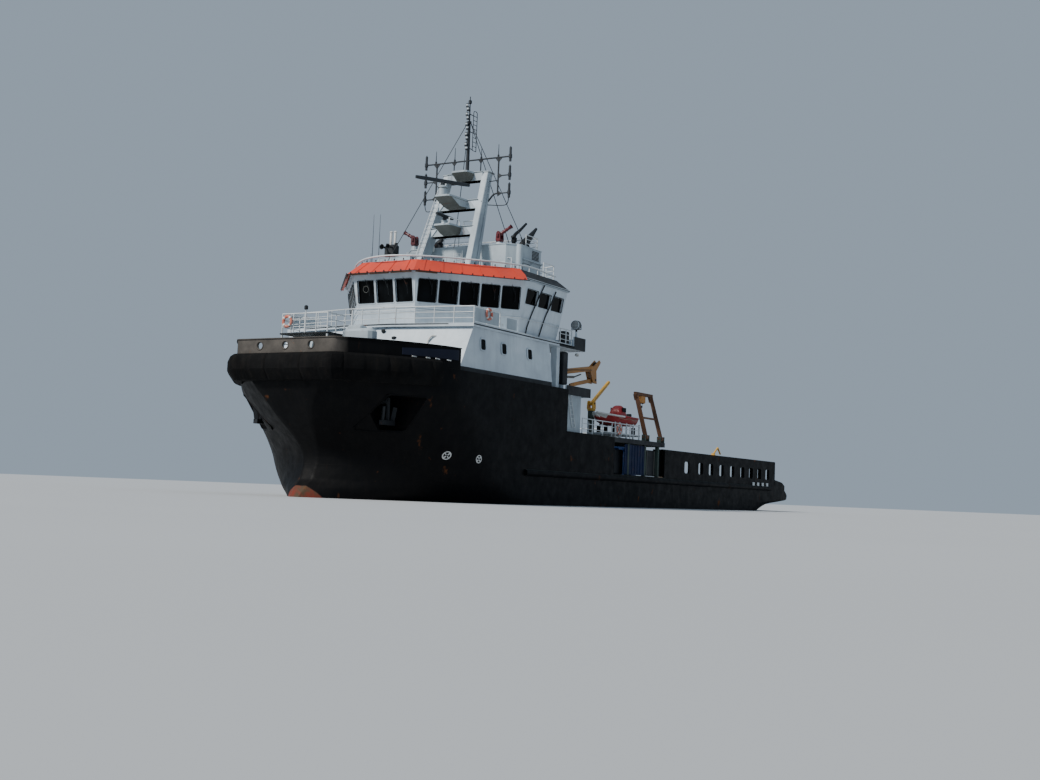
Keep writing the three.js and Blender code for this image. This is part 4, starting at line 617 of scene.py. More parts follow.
def alongEdge(line, spacing):
    # Points at equal spacing along a polyline, with the outward normal at each
    length = np.concatenate([[0], np.cumsum(np.linalg.norm(np.diff(line, axis=0), axis=1))])
    s = np.linspace(0, length[-1], int(length[-1] / spacing) + 1)
    points = np.stack([np.interp(s, length, line[:, k]) for k in range(3)], 1)
    ahead = unit(np.gradient(points, axis=0))
    # The line runs from port aft round the bow to starboard, so outwards is to its left
    return s, points, np.stack([-ahead[:, 1], ahead[:, 0], 0 * s], 1)


def makeFender():
    c = fenderPlan
    s, points, out = alongEdge(roundBow(c["aft"]), 0.1)
    wave = np.abs((s / c["grooveEvery"]) % 1 - 0.5) * c["grooveEvery"]
    groove = c["grooveDeep"] * np.clip(1 - wave / 0.09, 0, 1)
    profile = np.array(c["profile"], float)
    reach = profile[:, 0] - np.where(profile[:, 0] > 0.12, groove[:, None], 0)
    grid = points[:, None] + out[:, None] * reach[..., None]
    grid[..., 2] = profile[:, 1]
    makePiece("fenderBelt", {"fenderRubber": [gridSurface(grid)]}, "bow_fender", smooth=25)


makeFender()

bulwarkPlan = {"aft": 23.5, "thick": 0.12, "capWide": 0.24, "capDeep": 0.06, "fairleadYs": (-1.85, 0.0, 1.85),
               "fairleadZ": 8.44, "bracketEvery": 1.35}


def makeBulwark():
    c = bulwarkPlan
    s, line, out = alongEdge(roundBow(c["aft"]), 0.15)
    low, high = level["fore"] + 0.003, level["bulwarkTop"]
    section = np.array([(0, low), (0, high), (-c["thick"], high), (-c["thick"], low)])
    grid = line[:, None] + out[:, None] * section[:, :1]
    grid[..., 2] = section[:, 1]
    wall = gridSurface(grid)
    wall = cutAway(wall, [rods((29, y, c["fairleadZ"]), (31, y, c["fairleadZ"]), 0.24, 28) for y in c["fairleadYs"]])
    rims = [revolve((30.14, y, c["fairleadZ"]), (1, 0, 0), ovalSection(0.09, 0.06, 0.235, 15), 32, True)
            for y in c["fairleadYs"]]
    capLine = line + out * (-c["thick"] / 2)
    capLine[:, 2] = high - 0.02
    cap = sweep(capLine, boxOutline(c["capWide"], c["capDeep"], 0.02))
    count = int(s[-1] / c["bracketEvery"])
    at = np.linspace(0.5, s[-1] - 0.5, count)
    base = np.stack([np.interp(at, s, line[:, k]) for k in range(3)], 1)
    inward = unit(-np.stack([np.interp(at, s, out[:, k]) for k in range(3)], 1))
    foot = base + inward * (c["thick"] + 0.25)
    top = base + inward * (c["thick"] + 0.02)
    foot[:, 2], top[:, 2] = low, high - 0.15
    brackets = beams(foot, top, 0.04, 0.14)
    makePiece("bulwarkWall", {"bulwarkPaint": [wall, *rims, cap], "hullPaint": [brackets]}, "bow_bulwark")


makeBulwark()
print("bow fender and bulwark made")

# Railings: round posts and bars along a path, with the top bar thicker

railPlan = {"postRadius": 0.035, "barRadius": 0.022, "topRadius": 0.034}


def railing(points, z, height=1.05, bars=3, spacing=1.3):
    ends = np.array([(x, y, z) for x, y in points], float)
    feet = []
    for a, b in zip(ends[:-1], ends[1:]):
        count = max(1, round(np.linalg.norm(b - a) / spacing))
        feet.append(a + (b - a) * (np.arange(count) / count)[:, None])
    feet = np.concatenate([*feet, ends[-1:]])
    shapes = [rods(feet, feet + (0, 0, height - 0.02), railPlan["postRadius"], 8), rods(feet, feet + (0, 0, 0.03), 0.07, 8)]
    for i in range(1, bars + 1):
        radius = railPlan["topRadius"] if i == bars else railPlan["barRadius"]
        lift = np.array([0, 0, height * i / bars - radius])
        shapes.append(rods(ends[:-1] + lift, ends[1:] + lift, radius, 8))
    return shapes


# Each plain rail: its node, its path, the deck under it and its height
railPaths = {
    "casingRail": ("casing_railing", [(11.7, 4.3), (10.2, 4.3), (10.2, -4.3), (11.7, -4.3)], 17.0, 0.9),
    "boatDeckRailPort": ("boat_deck_railing_port", [(8.3, 7.2), (3.9, 7.2), (-0.4, 7.2)], 4.86, 1.05),
    "boatDeckRailStarboard": ("boat_deck_railing_starboard", [(8.3, -7.2), (3.9, -7.2), (-4.2, -7.2), (-4.2, 2.5)], 4.86,
                              1.05),
}
for railName, (node, line, deck, height) in railPaths.items():
    makePiece(railName, {"railWhite": railing(line, deck, height)}, node)

# The bridge's rail goes round the front, with a length on each wing and toe strips that join them
bridgeRailPlan = {"front": [(18.8, 6.95), (21.7, 6.95), (22.55, 1.9), (22.55, -1.9), (21.7, -6.95), (18.8, -6.95)],
                  "wing": (9.75, 11.3), "side": 6.95, "z": 10.56, "height": 1.05}


def makeBridgeRail():
    c = bridgeRailPlan
    z, side = c["z"], c["side"]
    shapes = railing(c["front"], z, c["height"])
    for sign in (1, -1):
        shapes += railing([(x, sign * side) for x in c["wing"]], z, c["height"], spacing=0.8)
        foot, toe = (c["wing"][0], sign * side - 0.03, z + 0.003), (c["front"][1][0], sign * side + 0.03, z + 0.1)
        shapes.append(blocks(foot, toe, 0.01))
    makePiece("bridgeRail", {"railWhite": shapes}, "bridge_railing")


makeBridgeRail()

platformPlan = {"path": [(27.4, 1.9), (28.9, 1.9), (28.9, -1.4), (27.4, -1.4)], "z": 9.3, "low": (27.3, -1.5),
                "high": (29.0, 2.0)}


def makePlatform():
    c = platformPlan
    feet = np.array([(x, y, level["fore"]) for x, y in c["path"]])
    legs = rods(feet, feet + (0, 0, c["z"] - level["fore"]), 0.055, 12)
    braces = rods(spread(27.4, (1.9, -1.4), 8.7), spread(28.9, (1.9, -1.4), 8.7), 0.03, 8)
    frame = blocks((c["low"][0], c["low"][1], c["z"] - 0.08), (c["high"][0], c["high"][1], c["z"]), 0.015)
    barX = np.arange(27.4, 28.95, 0.12)
    grating = beams(spread(barX, c["low"][1] + 0.05, c["z"] + 0.005), spread(barX, c["high"][1] - 0.05, c["z"] + 0.005),
                    0.03, 0.03, 0.005)
    makePiece("bowLookout", {"railWhite": [legs, braces, *railing(c["path"], c["z"] - 0.02, 1.15, 3, 0.75)],
                             "darkSteel": [frame, grating]}, "bow_platform")


makePlatform()
print("railings made")

# Mast, topmast, antennas, radars and stays

mastPlan = {
    "foot": (14.95, 2.1), "head": (12.5, 1.55), "headZ": 22.15, "legHalf": 0.24, "legDepth": (0.55, 0.3),
    # Each tongue: its top, its front, and the depth of the beam that carries it
    "tongues": ((18.2, 15.5, 0.6), (20.1, 15.65, 0.62), (22.15, 13.7, 0.6)),
    "tongueRoot": 0.8, "tongueNose": 0.66, "lip": 0.14, "keel": 0.4,
    # Each radar post: its x, y and top, its radius and how far it reaches down
    "largeRadar": (15.2, -0.2, 20.8, 0.33, 0.7), "smallRadar": (15.1, 0.0, 18.45, 0.22, 0.25),
    "topmastX": 12.65, "yardZ": 23.05, "yardHalf": 3.4, "hangerY": 2.5, "tiers": (23.05, 21.8, 20.6),
    # Whips on the yard: y and height
    "whips": ((-2.6, 0.9), (-1.05, 1.0), (1.1, 0.75), (2.46, 0.9)),
    "lamps": (23.8, 24.5, 25.2, 25.9, 26.5),
    # Each stay's foot: x, y and the deck under it
    "stayFeet": ((11.9, 4.38, 17.0), (15.9, -4.6, 14.75), (10.36, 2.4, 17.0), (10.36, -2.4, 17.0)), "collarZ": 25.62,
}


def onMast(z, which):
    # The leg's centre line, 0 for x and 1 for y, runs straight from foot to head
    c = mastPlan
    share = (z - level["roofTop"]) / (c["headZ"] - level["roofTop"])
    return c["foot"][which] + (c["head"][which] - c["foot"][which]) * share


def legDepth(z):
    c = mastPlan
    return np.interp(z, (level["roofTop"], c["headZ"]), c["legDepth"])


def plateYZ(outline, x, thick=0.03):
    # A flat plate across the ship, drawn in y and z
    return extruded(outline, x - thick / 2, x + thick / 2, "x")


def makeMast():
    c = mastPlan
    z = np.linspace(level["roofTop"], c["headZ"], 12)
    corner = boxOutline(2, 2, 0.14)
    paint, white, rails = [], [], []
    for side in (1, -1):
        # A box leg: each ring is the cut-cornered square, stretched to the leg's depth and width there
        paint.append(gridSurface(spread(onMast(z, 0)[:, None] + corner[:, 0] * legDepth(z)[:, None],
                                        side * onMast(z, 1)[:, None] + corner[:, 1] * c["legHalf"], z[:, None])))
        # A cap plate on the leg's head, and a foot flange with its bolts
        top, x = c["headZ"], onMast(c["headZ"], 0)
        y = side * c["head"][1]
        paint.append(blocks((x - 0.5, y - 0.3, top - 0.06), (x + 0.36, y + 0.3, top + 0.02), 0.02))
        paint.append(extruded([(x - 0.28, top - 0.5), (x - 0.28, top - 0.05), (x - 0.62, top - 0.05)], y - 0.03, y + 0.03,
                              "y"))
        footX, footY = c["foot"][0], side * c["foot"][1]
        paint.append(blocks((footX - 0.68, footY - 0.36, 14.755), (footX + 0.68, footY + 0.36, 14.81), 0.015))
        bolt = spread(footX + np.repeat((-0.6, -0.3, 0, 0.3, 0.6), 2), footY + np.tile((-0.3, 0.3), 5), 14.8)
        paint.append(rods(bolt, bolt + (0, 0, 0.05), 0.025, 6))
        # Hand holes and a cable run down the leg's outboard face
        runZ = np.array([15.4, 17.0, 18.9, 20.6, 21.7])
        line = spread(onMast(runZ, 0) - 0.1, side * (onMast(runZ, 1) + c["legHalf"] + 0.03), runZ)
        paint.append(rods(line[:-1], line[1:], 0.03, 8))
        rails.append(beams(line - (0.06, 0, 0), line + (0.06, 0, 0), 0.03, 0.05, 0.005))
    for number, (top, front, depth) in enumerate(c["tongues"]):
        x = onMast(top - depth / 2, 0)
        y = onMast(top, 1) - c["legHalf"] / 2
        paint.append(blocks((x - 0.32, -y, top - depth), (x + 0.32, y, top), 0.03))
        # Flanges along the beam's upper and lower edges
        paint.append(blocks([(x - 0.38, -y, top - 0.03), (x - 0.36, -y, top - depth)],
                            [(x + 0.38, y, top + 0.012), (x + 0.36, y, top - depth + 0.035)], 0.01))
        # The tongue: a deck with a lip, and a belly that is drawn in and back below it
        root, nose, lip = c["tongueRoot"], c["tongueNose"], c["lip"]
        layers = []
        for fall, reach, share in ((depth, c["keel"], 0.86), (depth * 0.86, c["keel"] + 0.16, 0.9), (lip, 0.985, 0.985),
                                   (lip * 0.8, 1.0, 1.0), (0.0, 1.0, 1.0)):
            tip = x + (front - x) * reach
            half = nose * share
            side = np.array([(x, -root * share), (tip - 0.3, -half - 0.03), (tip - 0.09, -half + 0.04), (tip, -half + 0.2)])
            edge = np.concatenate([side, side[::-1] * (1, -1)])
            layers.append(spread(*edge.T, top - fall))
        paint.append(gridSurface(np.stack(layers)))
        # Knees where the beam meets the legs: a triangle each side with its point down
        if number < 2:
            inner, kneeX = y - 0.55, x + 0.36
            knee = [(inner, top - 0.12), (y + 0.3, top - 0.12), (y + 0.16, top - 0.95)]
            white += [plateYZ(knee, kneeX, 0.04), plateYZ([(-a, b) for a, b in knee][::-1], kneeX, 0.04)]
            # A low rail round the tongue's nose on three sides
            edge = [(x + 0.5, -root + 0.06), (front - 0.08, -nose + 0.06), (front - 0.08, nose - 0.06),
                    (x + 0.5, root - 0.06)]
            if number == 0:
                rails += railing(edge[2:], top, 0.4, 1, 1.1) + railing([(x, root - 0.06), (x, y - 0.05)], top, 0.4, 1, 1.1)
        # A rib under the tongue
        paint.append(beams((x + 0.3, 0, top - depth + 0.02), (front - 0.35, 0, top - lip - 0.02), 0.05, 0.09, 0.01))
    for x, y, top, radius, down in (c["largeRadar"], c["smallRadar"]):
        post = [(0, radius), (0.04, radius), (0.05, radius * 0.9), (down * 0.72, radius * 0.85), (down * 0.78, radius),
                (down * 0.9, radius), (down, radius * 0.6), (down, 0)]
        paint.append(revolve((x, y, top - down), (0, 0, 1), post, 28))
        bolt = spread(*(ringOutline(radius * 0.96, 8) + (x, y)).T, top - down * 0.2)
        paint.append(rods(bolt, bolt + (0, 0, 0.06), 0.02, 6))
    # Ladder up the forward face of the starboard leg, broken where the tongues pass
    rungZ = np.arange(15.0, 21.9, 0.32)
    rung = spread(onMast(rungZ, 0) + legDepth(rungZ) + 0.12, -onMast(rungZ, 1) - 0.02, rungZ)
    left, right = rung - (0, 0.2, 0), rung + (0, 0.2, 0)
    rails += [rods(left, right, 0.014, 6), rods([left[0], right[0]], [left[-1], right[-1]], 0.022, 8)]

    def paintedShadeUnder(centre, normal):
        # The undersides of beams and tongues are painted darker: painted shade
        return (normal[:, 2] < -0.25) & (centre[:, 2] > 16.5)
    parts = {"mastGrey": paint, "houseWhite": white, "railWhite": rails}
    makePiece("mastFrame", parts, "mast", smooth=28, also={"mastShadeAndDarkGrey": paintedShadeUnder})


makeMast()


def scanner(name, node, post, length, heading, deep):
    # A slotted bar on a gearbox hub; its section is a flat box with a rounded back
    x, y, z = post[:3]
    ahead = np.array([math.cos(heading), math.sin(heading), 0])
    hub = revolve((x, y, z + 0.005), (0, 0, 1), [(0, 0.13), (0.05, 0.15), (0.16, 0.15), (0.2, 0.1), (0.26, 0.09)], 24)
    along = np.linspace(-0.5, 0.5, 9) * length
    outline = boxOutline(0.18, deep, 0.05)
    size = np.where(np.abs(along) > 0.47 * length, 0.82, 1.0)
    side = np.array([-ahead[1], ahead[0], 0])
    centreLine = np.array([x, y, z + 0.31]) + along[:, None] * ahead
    ring = centreLine[:, None] + size[:, None, None] * (side * outline[:, :1] + np.array([0, 0, 1.0]) * outline[:, 1:])
    face = beams(centreLine[1] + side * 0.09, centreLine[-2] + side * 0.09, 0.012, deep * 0.5, 0.004)
    bracket = beams(centreLine[4] - ahead * 0.3 - (0, 0, 0.1), centreLine[4] + ahead * 0.3 - (0, 0, 0.1), 0.1, 0.06)
    makePiece(name, {"antennaDark": [hub, gridSurface(ring), bracket], "lampGlass": [face]}, node)


scanner("scannerLarge", "radar_scanner_large", mastPlan["largeRadar"], 3.95, 2.62, 0.24)
scanner("scannerSmall", "radar_scanner_small", mastPlan["smallRadar"], 2.0, 3.17, 0.19)


def tube(points, radius, count=16, sides=8):
    return sweep(smoothPath(points, count), ringOutline(radius, sides), upright=(1, 0, 0))


def makeTopmast():
    c = mastPlan
    x, yardZ, hanger, outer = c["topmastX"], c["yardZ"], c["hangerY"], c["yardHalf"]
    bottom = c["tiers"][2]
    pole = [(0, 0.2), (0.05, 0.2), (0.06, 0.13), (3.4, 0.1), (3.45, 0.06), (5.35, 0.03), (5.35, 0)]
    metal = [revolve((x, 0, c["headZ"]), (0, 0, 1), pole, 16)]
    for side in (1, -1):
        def arm(inY, inZ, outY, outZ, radius, sides=8):
            return rods((x, side * inY, inZ), (x, side * outY, outZ), radius, sides)
        metal += [arm(0, yardZ, outer, yardZ, 0.055, 12), arm(hanger, bottom - 0.05, hanger, yardZ, 0.055, 12)]
        metal += [arm(hanger - 0.05, z, outer, z, 0.045) for z in c["tiers"][1:]]
        # Dipole posts, each with a thin spigot above and a collar at its arm
        metal += [arm(outer, z - 0.35, outer, z + 0.6, 0.085, 12) for z in c["tiers"]]
        metal += [arm(outer, z - 0.12, outer, z + 0.12, 0.12, 12) for z in c["tiers"]]
        metal += [arm(outer, z + 0.6, outer, z + 0.68, 0.035) for z in c["tiers"]]
        # Struts that carry the yard, one from the leg to the hanger, and a bent pipe below the lowest arm
        metal += [arm(1.08, c["headZ"], 1.08, yardZ, 0.04), arm(1.7, 21.45, hanger, 21.5, 0.035)]
        metal.append(tube([(x, side * (hanger + 0.1), bottom), (x, side * 2.2, bottom - 0.05),
                           (x + 0.2, side * 1.9, bottom - 0.55)], 0.06))
        metal.append(tube([(x, side * outer, bottom - 0.3), (x, side * (outer - 0.12), bottom - 0.75),
                           (x + 0.1, side * 2.9, bottom - 0.86),
                           (x + 0.3, side * 1.95, bottom - 0.8)], 0.03))
        # Knees at the hanger's joints
        knees = [[(hanger - 0.3, yardZ), (hanger + 0.3, yardZ), (hanger, yardZ - 0.35)],
                 [(0.85, yardZ), (1.3, yardZ), (1.08, yardZ - 0.3)]]
        knees += [[(hanger, z + 0.2), (hanger, z - 0.2), (hanger + 0.35, z)] for z in c["tiers"][1:]]
        metal += [plateYZ([(side * a, b) for a, b in knee], x, 0.05) for knee in knees]
    metal += [rods((x, y, yardZ), (x, y, yardZ + rise), 0.035, 8, 0.5) for y, rise in c["whips"]]
    metal += [rods((x, y, yardZ - 0.03), (x, y, yardZ + 0.18), 0.07, 8) for y, _ in c["whips"]]
    # Lamps on brackets ahead of the pole, two at each height
    lampZ = np.repeat(c["lamps"], 2) + np.tile((0.0, 0.3), 5)
    foot = spread(x, np.tile((0.06, -0.08), 5), lampZ)
    lamp = foot + spread(np.tile((0.3, 0.2), 5), 0, 0)
    metal += [beams(foot, lamp, 0.05, 0.03), beams(foot - (0, 0, 0.2), lamp - (0.06, 0, 0.02), 0.02, 0.03)]
    metal += [rods(lamp - (0, 0, 0.07), lamp + (0, 0, 0.02), 0.1, 14),
              rods(lamp + (0, 0, 0.15), lamp + (0, 0, 0.2), 0.1, 14, 0.6)]
    glass = [rods(lamp + (0, 0, 0.02), lamp + (0, 0, 0.15), 0.075, 14)]
    metal.append(revolve((x, 0, 27.0), (0, 0, 1), [(0, 0.05), (0.02, 0.12), (0.22, 0.12), (0.28, 0.04)], 16))
    # A ladder frame stands aft of the pole on short outriggers, with a hoop over its top
    rungZ = np.arange(23.9, 26.5, 0.3)
    near, far = spread(x - 0.5, 0, rungZ), spread(x - 0.95, 0, rungZ)
    metal += [rods(near, far, 0.02, 6), rods([near[0], far[0]], [near[-1], far[-1]], 0.026, 8)]
    metal.append(rods(spread(x, 0, (23.95, 25.1, 26.3)), spread(x - 0.5, 0, (23.95, 25.1, 26.3)), 0.03, 8))
    metal.append(tube([near[-1], (x - 0.55, 0, 26.62), (x - 0.9, 0, 26.62), far[-1]], 0.026, 12))
    makePiece("topmastRig", {"antennaDark": metal, "lampGlass": glass}, "topmast")
    # Stays: a collar round the pole, and a wire from it to each foot, with its screw and foot plate
    feet = np.array(c["stayFeet"])
    head = np.array([x, 0, c["collarZ"] + 0.08])
    away = feet[:, :2] - head[:2]
    start = spread(*(head[:2] + unit(away) * 0.1).T, head[2])
    wires = rods(start, feet + (0, 0, 0.05), 0.024, 8)
    screws = rods(feet + (start - feet) * 0.03, feet + (start - feet) * 0.075, 0.045, 8)
    plates = blocks(feet - (0.1, 0.1, -0.003), feet + (0.1, 0.1, 0.06), 0.015)
    collar = revolve((x, 0, c["collarZ"]), (0, 0, 1), [(0, 0.07), (0, 0.15), (0.16, 0.15), (0.16, 0.07)], 20, True)
    makePiece("stayWires", {"antennaDark": [wires, screws, plates, collar]}, "main_stays")


makeTopmast()
print("mast made")

# Fire monitors and searchlights

monitorPlan = {"x": 12.85, "places": (("port", 2.95, 17.25), ("starboard", -3.95, 17.4)), "pin": 0.5}


def makeMonitors():
    c = monitorPlan
    x = c["x"]
    for name, y, base in c["places"]:
        out = np.sign(y)
        foot = revolve((x, y, base + 0.005), (0, 0, 1), [(0, 0.24), (0.08, 0.24), (0.14, 0.18), (0.2, 0.12), (0.22, 0)], 28)
        cheek = [(y - 0.18, base + 0.08), (y + 0.18, base + 0.08), (y + 0.14, base + 0.6), (y + 0.06, base + 0.7),
                 (y - 0.06, base + 0.7), (y - 0.14, base + 0.6)]
        cheeks = [extruded(cheek, x + dx - 0.035, x + dx + 0.035, "x") for dx in (0.21, -0.21)]
        motor = revolve((x + 0.26, y, base + 0.3), (0, 0, 1), [(0, 0.08), (0.2, 0.08), (0.22, 0.05)], 16)
        makePiece("monitorYoke" + name, {"monitorRed": [foot, *cheeks, motor]}, "monitor_yoke_" + name)
        z = base + c["pin"]
        start, tip = np.array([x, y - out * 0.16, z - 0.085]), np.array([x, y + out * 0.72, z + 0.4])
        ahead = unit(tip - start)
        long = np.linalg.norm(tip - start)
        profile = [(0, 0.08), (0.02, 0.14), (0.3, 0.14), (0.36, 0.11), (long, 0.095), (long, 0.12), (long + 0.03, 0.12),
                   (long + 0.05, 0.1), (long + 0.19, 0.15), (long + 0.19, 0.12), (long - 0.1, 0.05)]
        barrel = revolve(start, ahead, profile, 24)
        pin = rods((x - 0.17, y, z), (x + 0.17, y, z), 0.1, 20)
        bands = [revolve(start, ahead, [(a, 0.09), (a, 0.125), (a + 0.05, 0.125), (a + 0.05, 0.09)], 20, True)
                 for a in (0.5, 0.75)]
        makePiece("monitorBarrel" + name, {"monitorRed": [barrel, pin, *bands]}, "monitor_barrel_" + name)


makeMonitors()


def makeSearchlights():
    for name, side in (("port", 1), ("starboard", -1)):
        x, y, z = 8.3, side * 6.5, 12.16
        shell = [(0, 0.1), (0.02, 0.2), (0.1, 0.29), (0.14, 0.31), (0.43, 0.31), (0.46, 0.3), (0.46, 0.28), (0.43, 0.275)]
        drum = revolve((x - 0.2, y, z), (1, 0, 0), shell, 36)
        fin = [(0, 0.3), (0, 0.322), (0.02, 0.322), (0.02, 0.3)]
        fins = [revolve((x - 0.06 + 0.07 * i, y, z), (1, 0, 0), fin, 32, True) for i in range(4)]
        neck = rods((x, y, 11.715), (x, y, 12.0), 0.07, 16)
        yoke = [beams((x, y + dy, 11.86), (x, y + dy, 12.2), 0.06, 0.025) for dy in (0.35, -0.35)]
        yoke.append(beams((x, y - 0.36, 11.86), (x, y + 0.36, 11.86), 0.06, 0.04))
        lens = revolve((x + 0.232, y, z), (1, 0, 0), [(0, 0.0), (0.0, 0.272), (0.015, 0.272), (0.03, 0.18), (0.035, 0)], 32)
        # A guard of crossed bars over the lens
        reach = np.array([-0.2, -0.1, 0.0, 0.1, 0.2])
        span = np.sqrt(0.28 ** 2 - reach ** 2)
        front = x + 0.275
        grid = [rods(spread(front, y + reach, z - span), spread(front, y + reach, z + span), 0.009, 6),
                rods(spread(front, y - span, z + reach), spread(front, y + span, z + reach), 0.009, 6)]
        parts = {"mastGrey": [drum], "darkSteel": [*fins, neck, *yoke, *grid], "lampGlass": [lens]}
        makePiece("searchlight" + name, parts, "searchlight_" + name)


makeSearchlights()
print("monitors and searchlights made")

# Exhausts: a thin pipe, and beside it a thick one that narrows to its tip
# Each row: x, y, reach aft, rise, radius across at the foot and at the tip, and stretch of the foot fore and aft

exhaustPlan = ((11.1, 3.0, 1.5, 2.1, 0.14, 0.08, 1.0), (11.0, 3.75, 1.5, 1.72, 0.33, 0.09, 1.5),
               (11.1, -3.0, 1.5, 2.1, 0.14, 0.08, 1.0), (11.0, -3.75, 1.5, 1.72, 0.33, 0.09, 1.5))


def makeExhausts():
    deck = level["casingTop"]
    shapes = [blocks((10.6, -4.08, deck + 0.003), (11.48, 4.08, deck + 0.15), 0.03)]
    for x, y, reach, rise, foot, tip, stretch in exhaustPlan:
        thick = stretch > 1
        knee = 0.35 if thick else 0.95
        bend = smoothPath([(x, y, deck + 0.1), (x, y, deck + knee), (x - 0.5 * reach, y, deck + 0.5 * (rise + knee)),
                           (x - reach, y, deck + rise)], 18)
        share = np.linspace(0, 1, 18)
        size = foot + (tip - foot) * np.clip((share - 0.15) / 0.85, 0, 1)
        long = size * (1 + (stretch - 1) * (1 - share))
        ahead = unit(np.gradient(bend, axis=0))
        side = np.array([0, 1.0, 0])
        up = np.cross(ahead, side)
        loop = ringOutline(1, 24)
        # An open pipe: the wall goes up outside, turns over the lip and runs a little way back down inside
        outer = bend[:, None] + side * loop[:, :1] * size[:, None, None] + up[:, None] * loop[:, 1:] * long[:, None, None]
        inner = bend[-1] + (outer[-1] - bend[-1]) * 0.8
        shapes.append(gridSurface(np.concatenate([outer, inner[None], (inner - ahead[-1] * 0.3)[None]])))
        collar = np.array([(0, 0.9), (0, 1.3), (0.05, 1.3), (0.05, 0.9)]) * (1, foot)
        shapes.append(revolve((x, y, deck + 0.15), (0, 0, 1), collar, 24, True))
        if not thick:
            sleeve = np.array([(0, 0.9), (0.02, 1.35), (0.3, 1.35), (0.32, 0.9)]) * (1, foot)
            shapes.append(rods((x, y, deck + 0.75), (x + 0.28, y, deck + 0.9), 0.1, 12))
            shapes.append(revolve((x, y, deck + 0.55), (0, 0, 1), sleeve, 20))
    makePiece("exhaustPipes", {"darkSteel": shapes}, "exhaust_stack", smooth=40)


makeExhausts()
print("exhausts made")

# Windlass

windlassPlan = {"x": 25.6, "z": 9.0, "cheeks": (-1.7, 0.0, 1.7), "drums": (0.45, -1.19)}


def makeWindlass():
    c = windlassPlan
    x, z, low = c["x"], c["z"], level["fore"] + 0.003
    cheek = [(x - 0.7, low), (x + 0.7, low), (x + 0.3, z + 0.18), (x + 0.16, z + 0.28), (x - 0.16, z + 0.28),
             (x - 0.3, z + 0.18)]
    cheeks = [extruded(cheek, y - 0.08, y + 0.08, "y") for y in c["cheeks"]]
    flanges = [rods((x, y - 0.12, z), (x, y + 0.12, z), 0.26, 24) for y in c["cheeks"]]
    bed = blocks((x - 0.9, -1.9, low), (x + 0.9, 1.9, 7.75), 0.03)
    motor = extruded([(x - 1.3, low), (x - 0.6, low), (x - 0.7, 9.6), (x - 0.78, 9.95), (x - 0.92, 10.1), (x - 1.22, 10.1),
                      (x - 1.3, 10.0)], -0.1, 1.8, "y")
    ribY = np.array((0.1, 0.5, 0.9, 1.3))
    ribs = blocks(spread(x - 1.33, ribY, 8.2), spread(x - 1.27, ribY + 0.2, 9.6))
    makePiece("windlassBase", {"mastGrey": [*cheeks, *flanges, bed, motor, ribs]}, "windlass_frame")
    profile = [(0, 0.12), (0, 0.57), (0.02, 0.6), (0.06, 0.6), (0.08, 0.57), (0.12, 0.34), (0.62, 0.34), (0.66, 0.57),
               (0.68, 0.6), (0.72, 0.6), (0.74, 0.57), (0.74, 0.12)]
    drums = [revolve((x, y, z), (0, 1, 0), profile, 40) for y in c["drums"]]
    shaft = rods((x, -2.5, z), (x, 2.5, z), 0.12, 20)
    head = [(0, 0.12), (0, 0.3), (0.05, 0.3), (0.18, 0.22), (0.34, 0.22), (0.42, 0.3), (0.47, 0.3), (0.48, 0.12)]
    heads = [revolve((x, side * 2.02, z), (0, side, 0), head, 28) for side in (1, -1)]
    wheel = [(0, 0.12), (0, 0.5), (0.03, 0.55), (0.14, 0.55), (0.17, 0.5), (0.17, 0.12)]
    gear = revolve((x, 1.45, z), (0, 1, 0), wheel, 32)
    # Rope in turns side by side on the drums: its radius is 0.43 + 0.035 |sin|
    ropeY = np.linspace(0.13, 0.61, 61)
    turns = np.stack([ropeY, 0.43 + 0.035 * np.abs(np.sin(np.pi * (ropeY - 0.13) / 0.08))], 1)
    rope = [revolve((x, y, z), (0, 1, 0), turns, 32) for y in c["drums"]]
    makePiece("windlassDrums", {"mastGrey": [*drums, shaft, *heads, gear], "ropeTan": rope}, "windlass_drums")


makeWindlass()

# Davit, crane, A-frame and the small davit on the rail

davitPlan = {"x": 9.0, "y": 5.6, "z": 8.3, "tip": (4.0, 9.68), "pin": (4.0, 8.85), "end": (7.34, 8.19)}
cranePlan = {"x": 0.85, "y": 3.9, "z": 6.9, "pinZ": 7.45, "reach": 2.65, "rise": 1.81}


def boxBoom(a, b, wide, deep, endShare=0.8):
    # A box beam between two points in a vertical plane, its depth drawn in at both ends
    a, b = np.array(a, float), np.array(b, float)
    ahead = unit(b - a)
    side = unit(np.cross((0, 0, 1.0), ahead))
    up = np.cross(ahead, side)
    share = np.array([0, 0.02, 0.1, 0.5, 0.9, 0.98, 1.0])
    size = np.array([endShare, 0.92, 1, 1, 0.95, 0.88, endShare])
    outline = boxOutline(wide, deep, 0.02)
    middle = a + (b - a) * share[:, None]
    return gridSurface(middle[:, None] + side * outline[:, :1] + up * outline[:, 1:] * size[:, None, None])


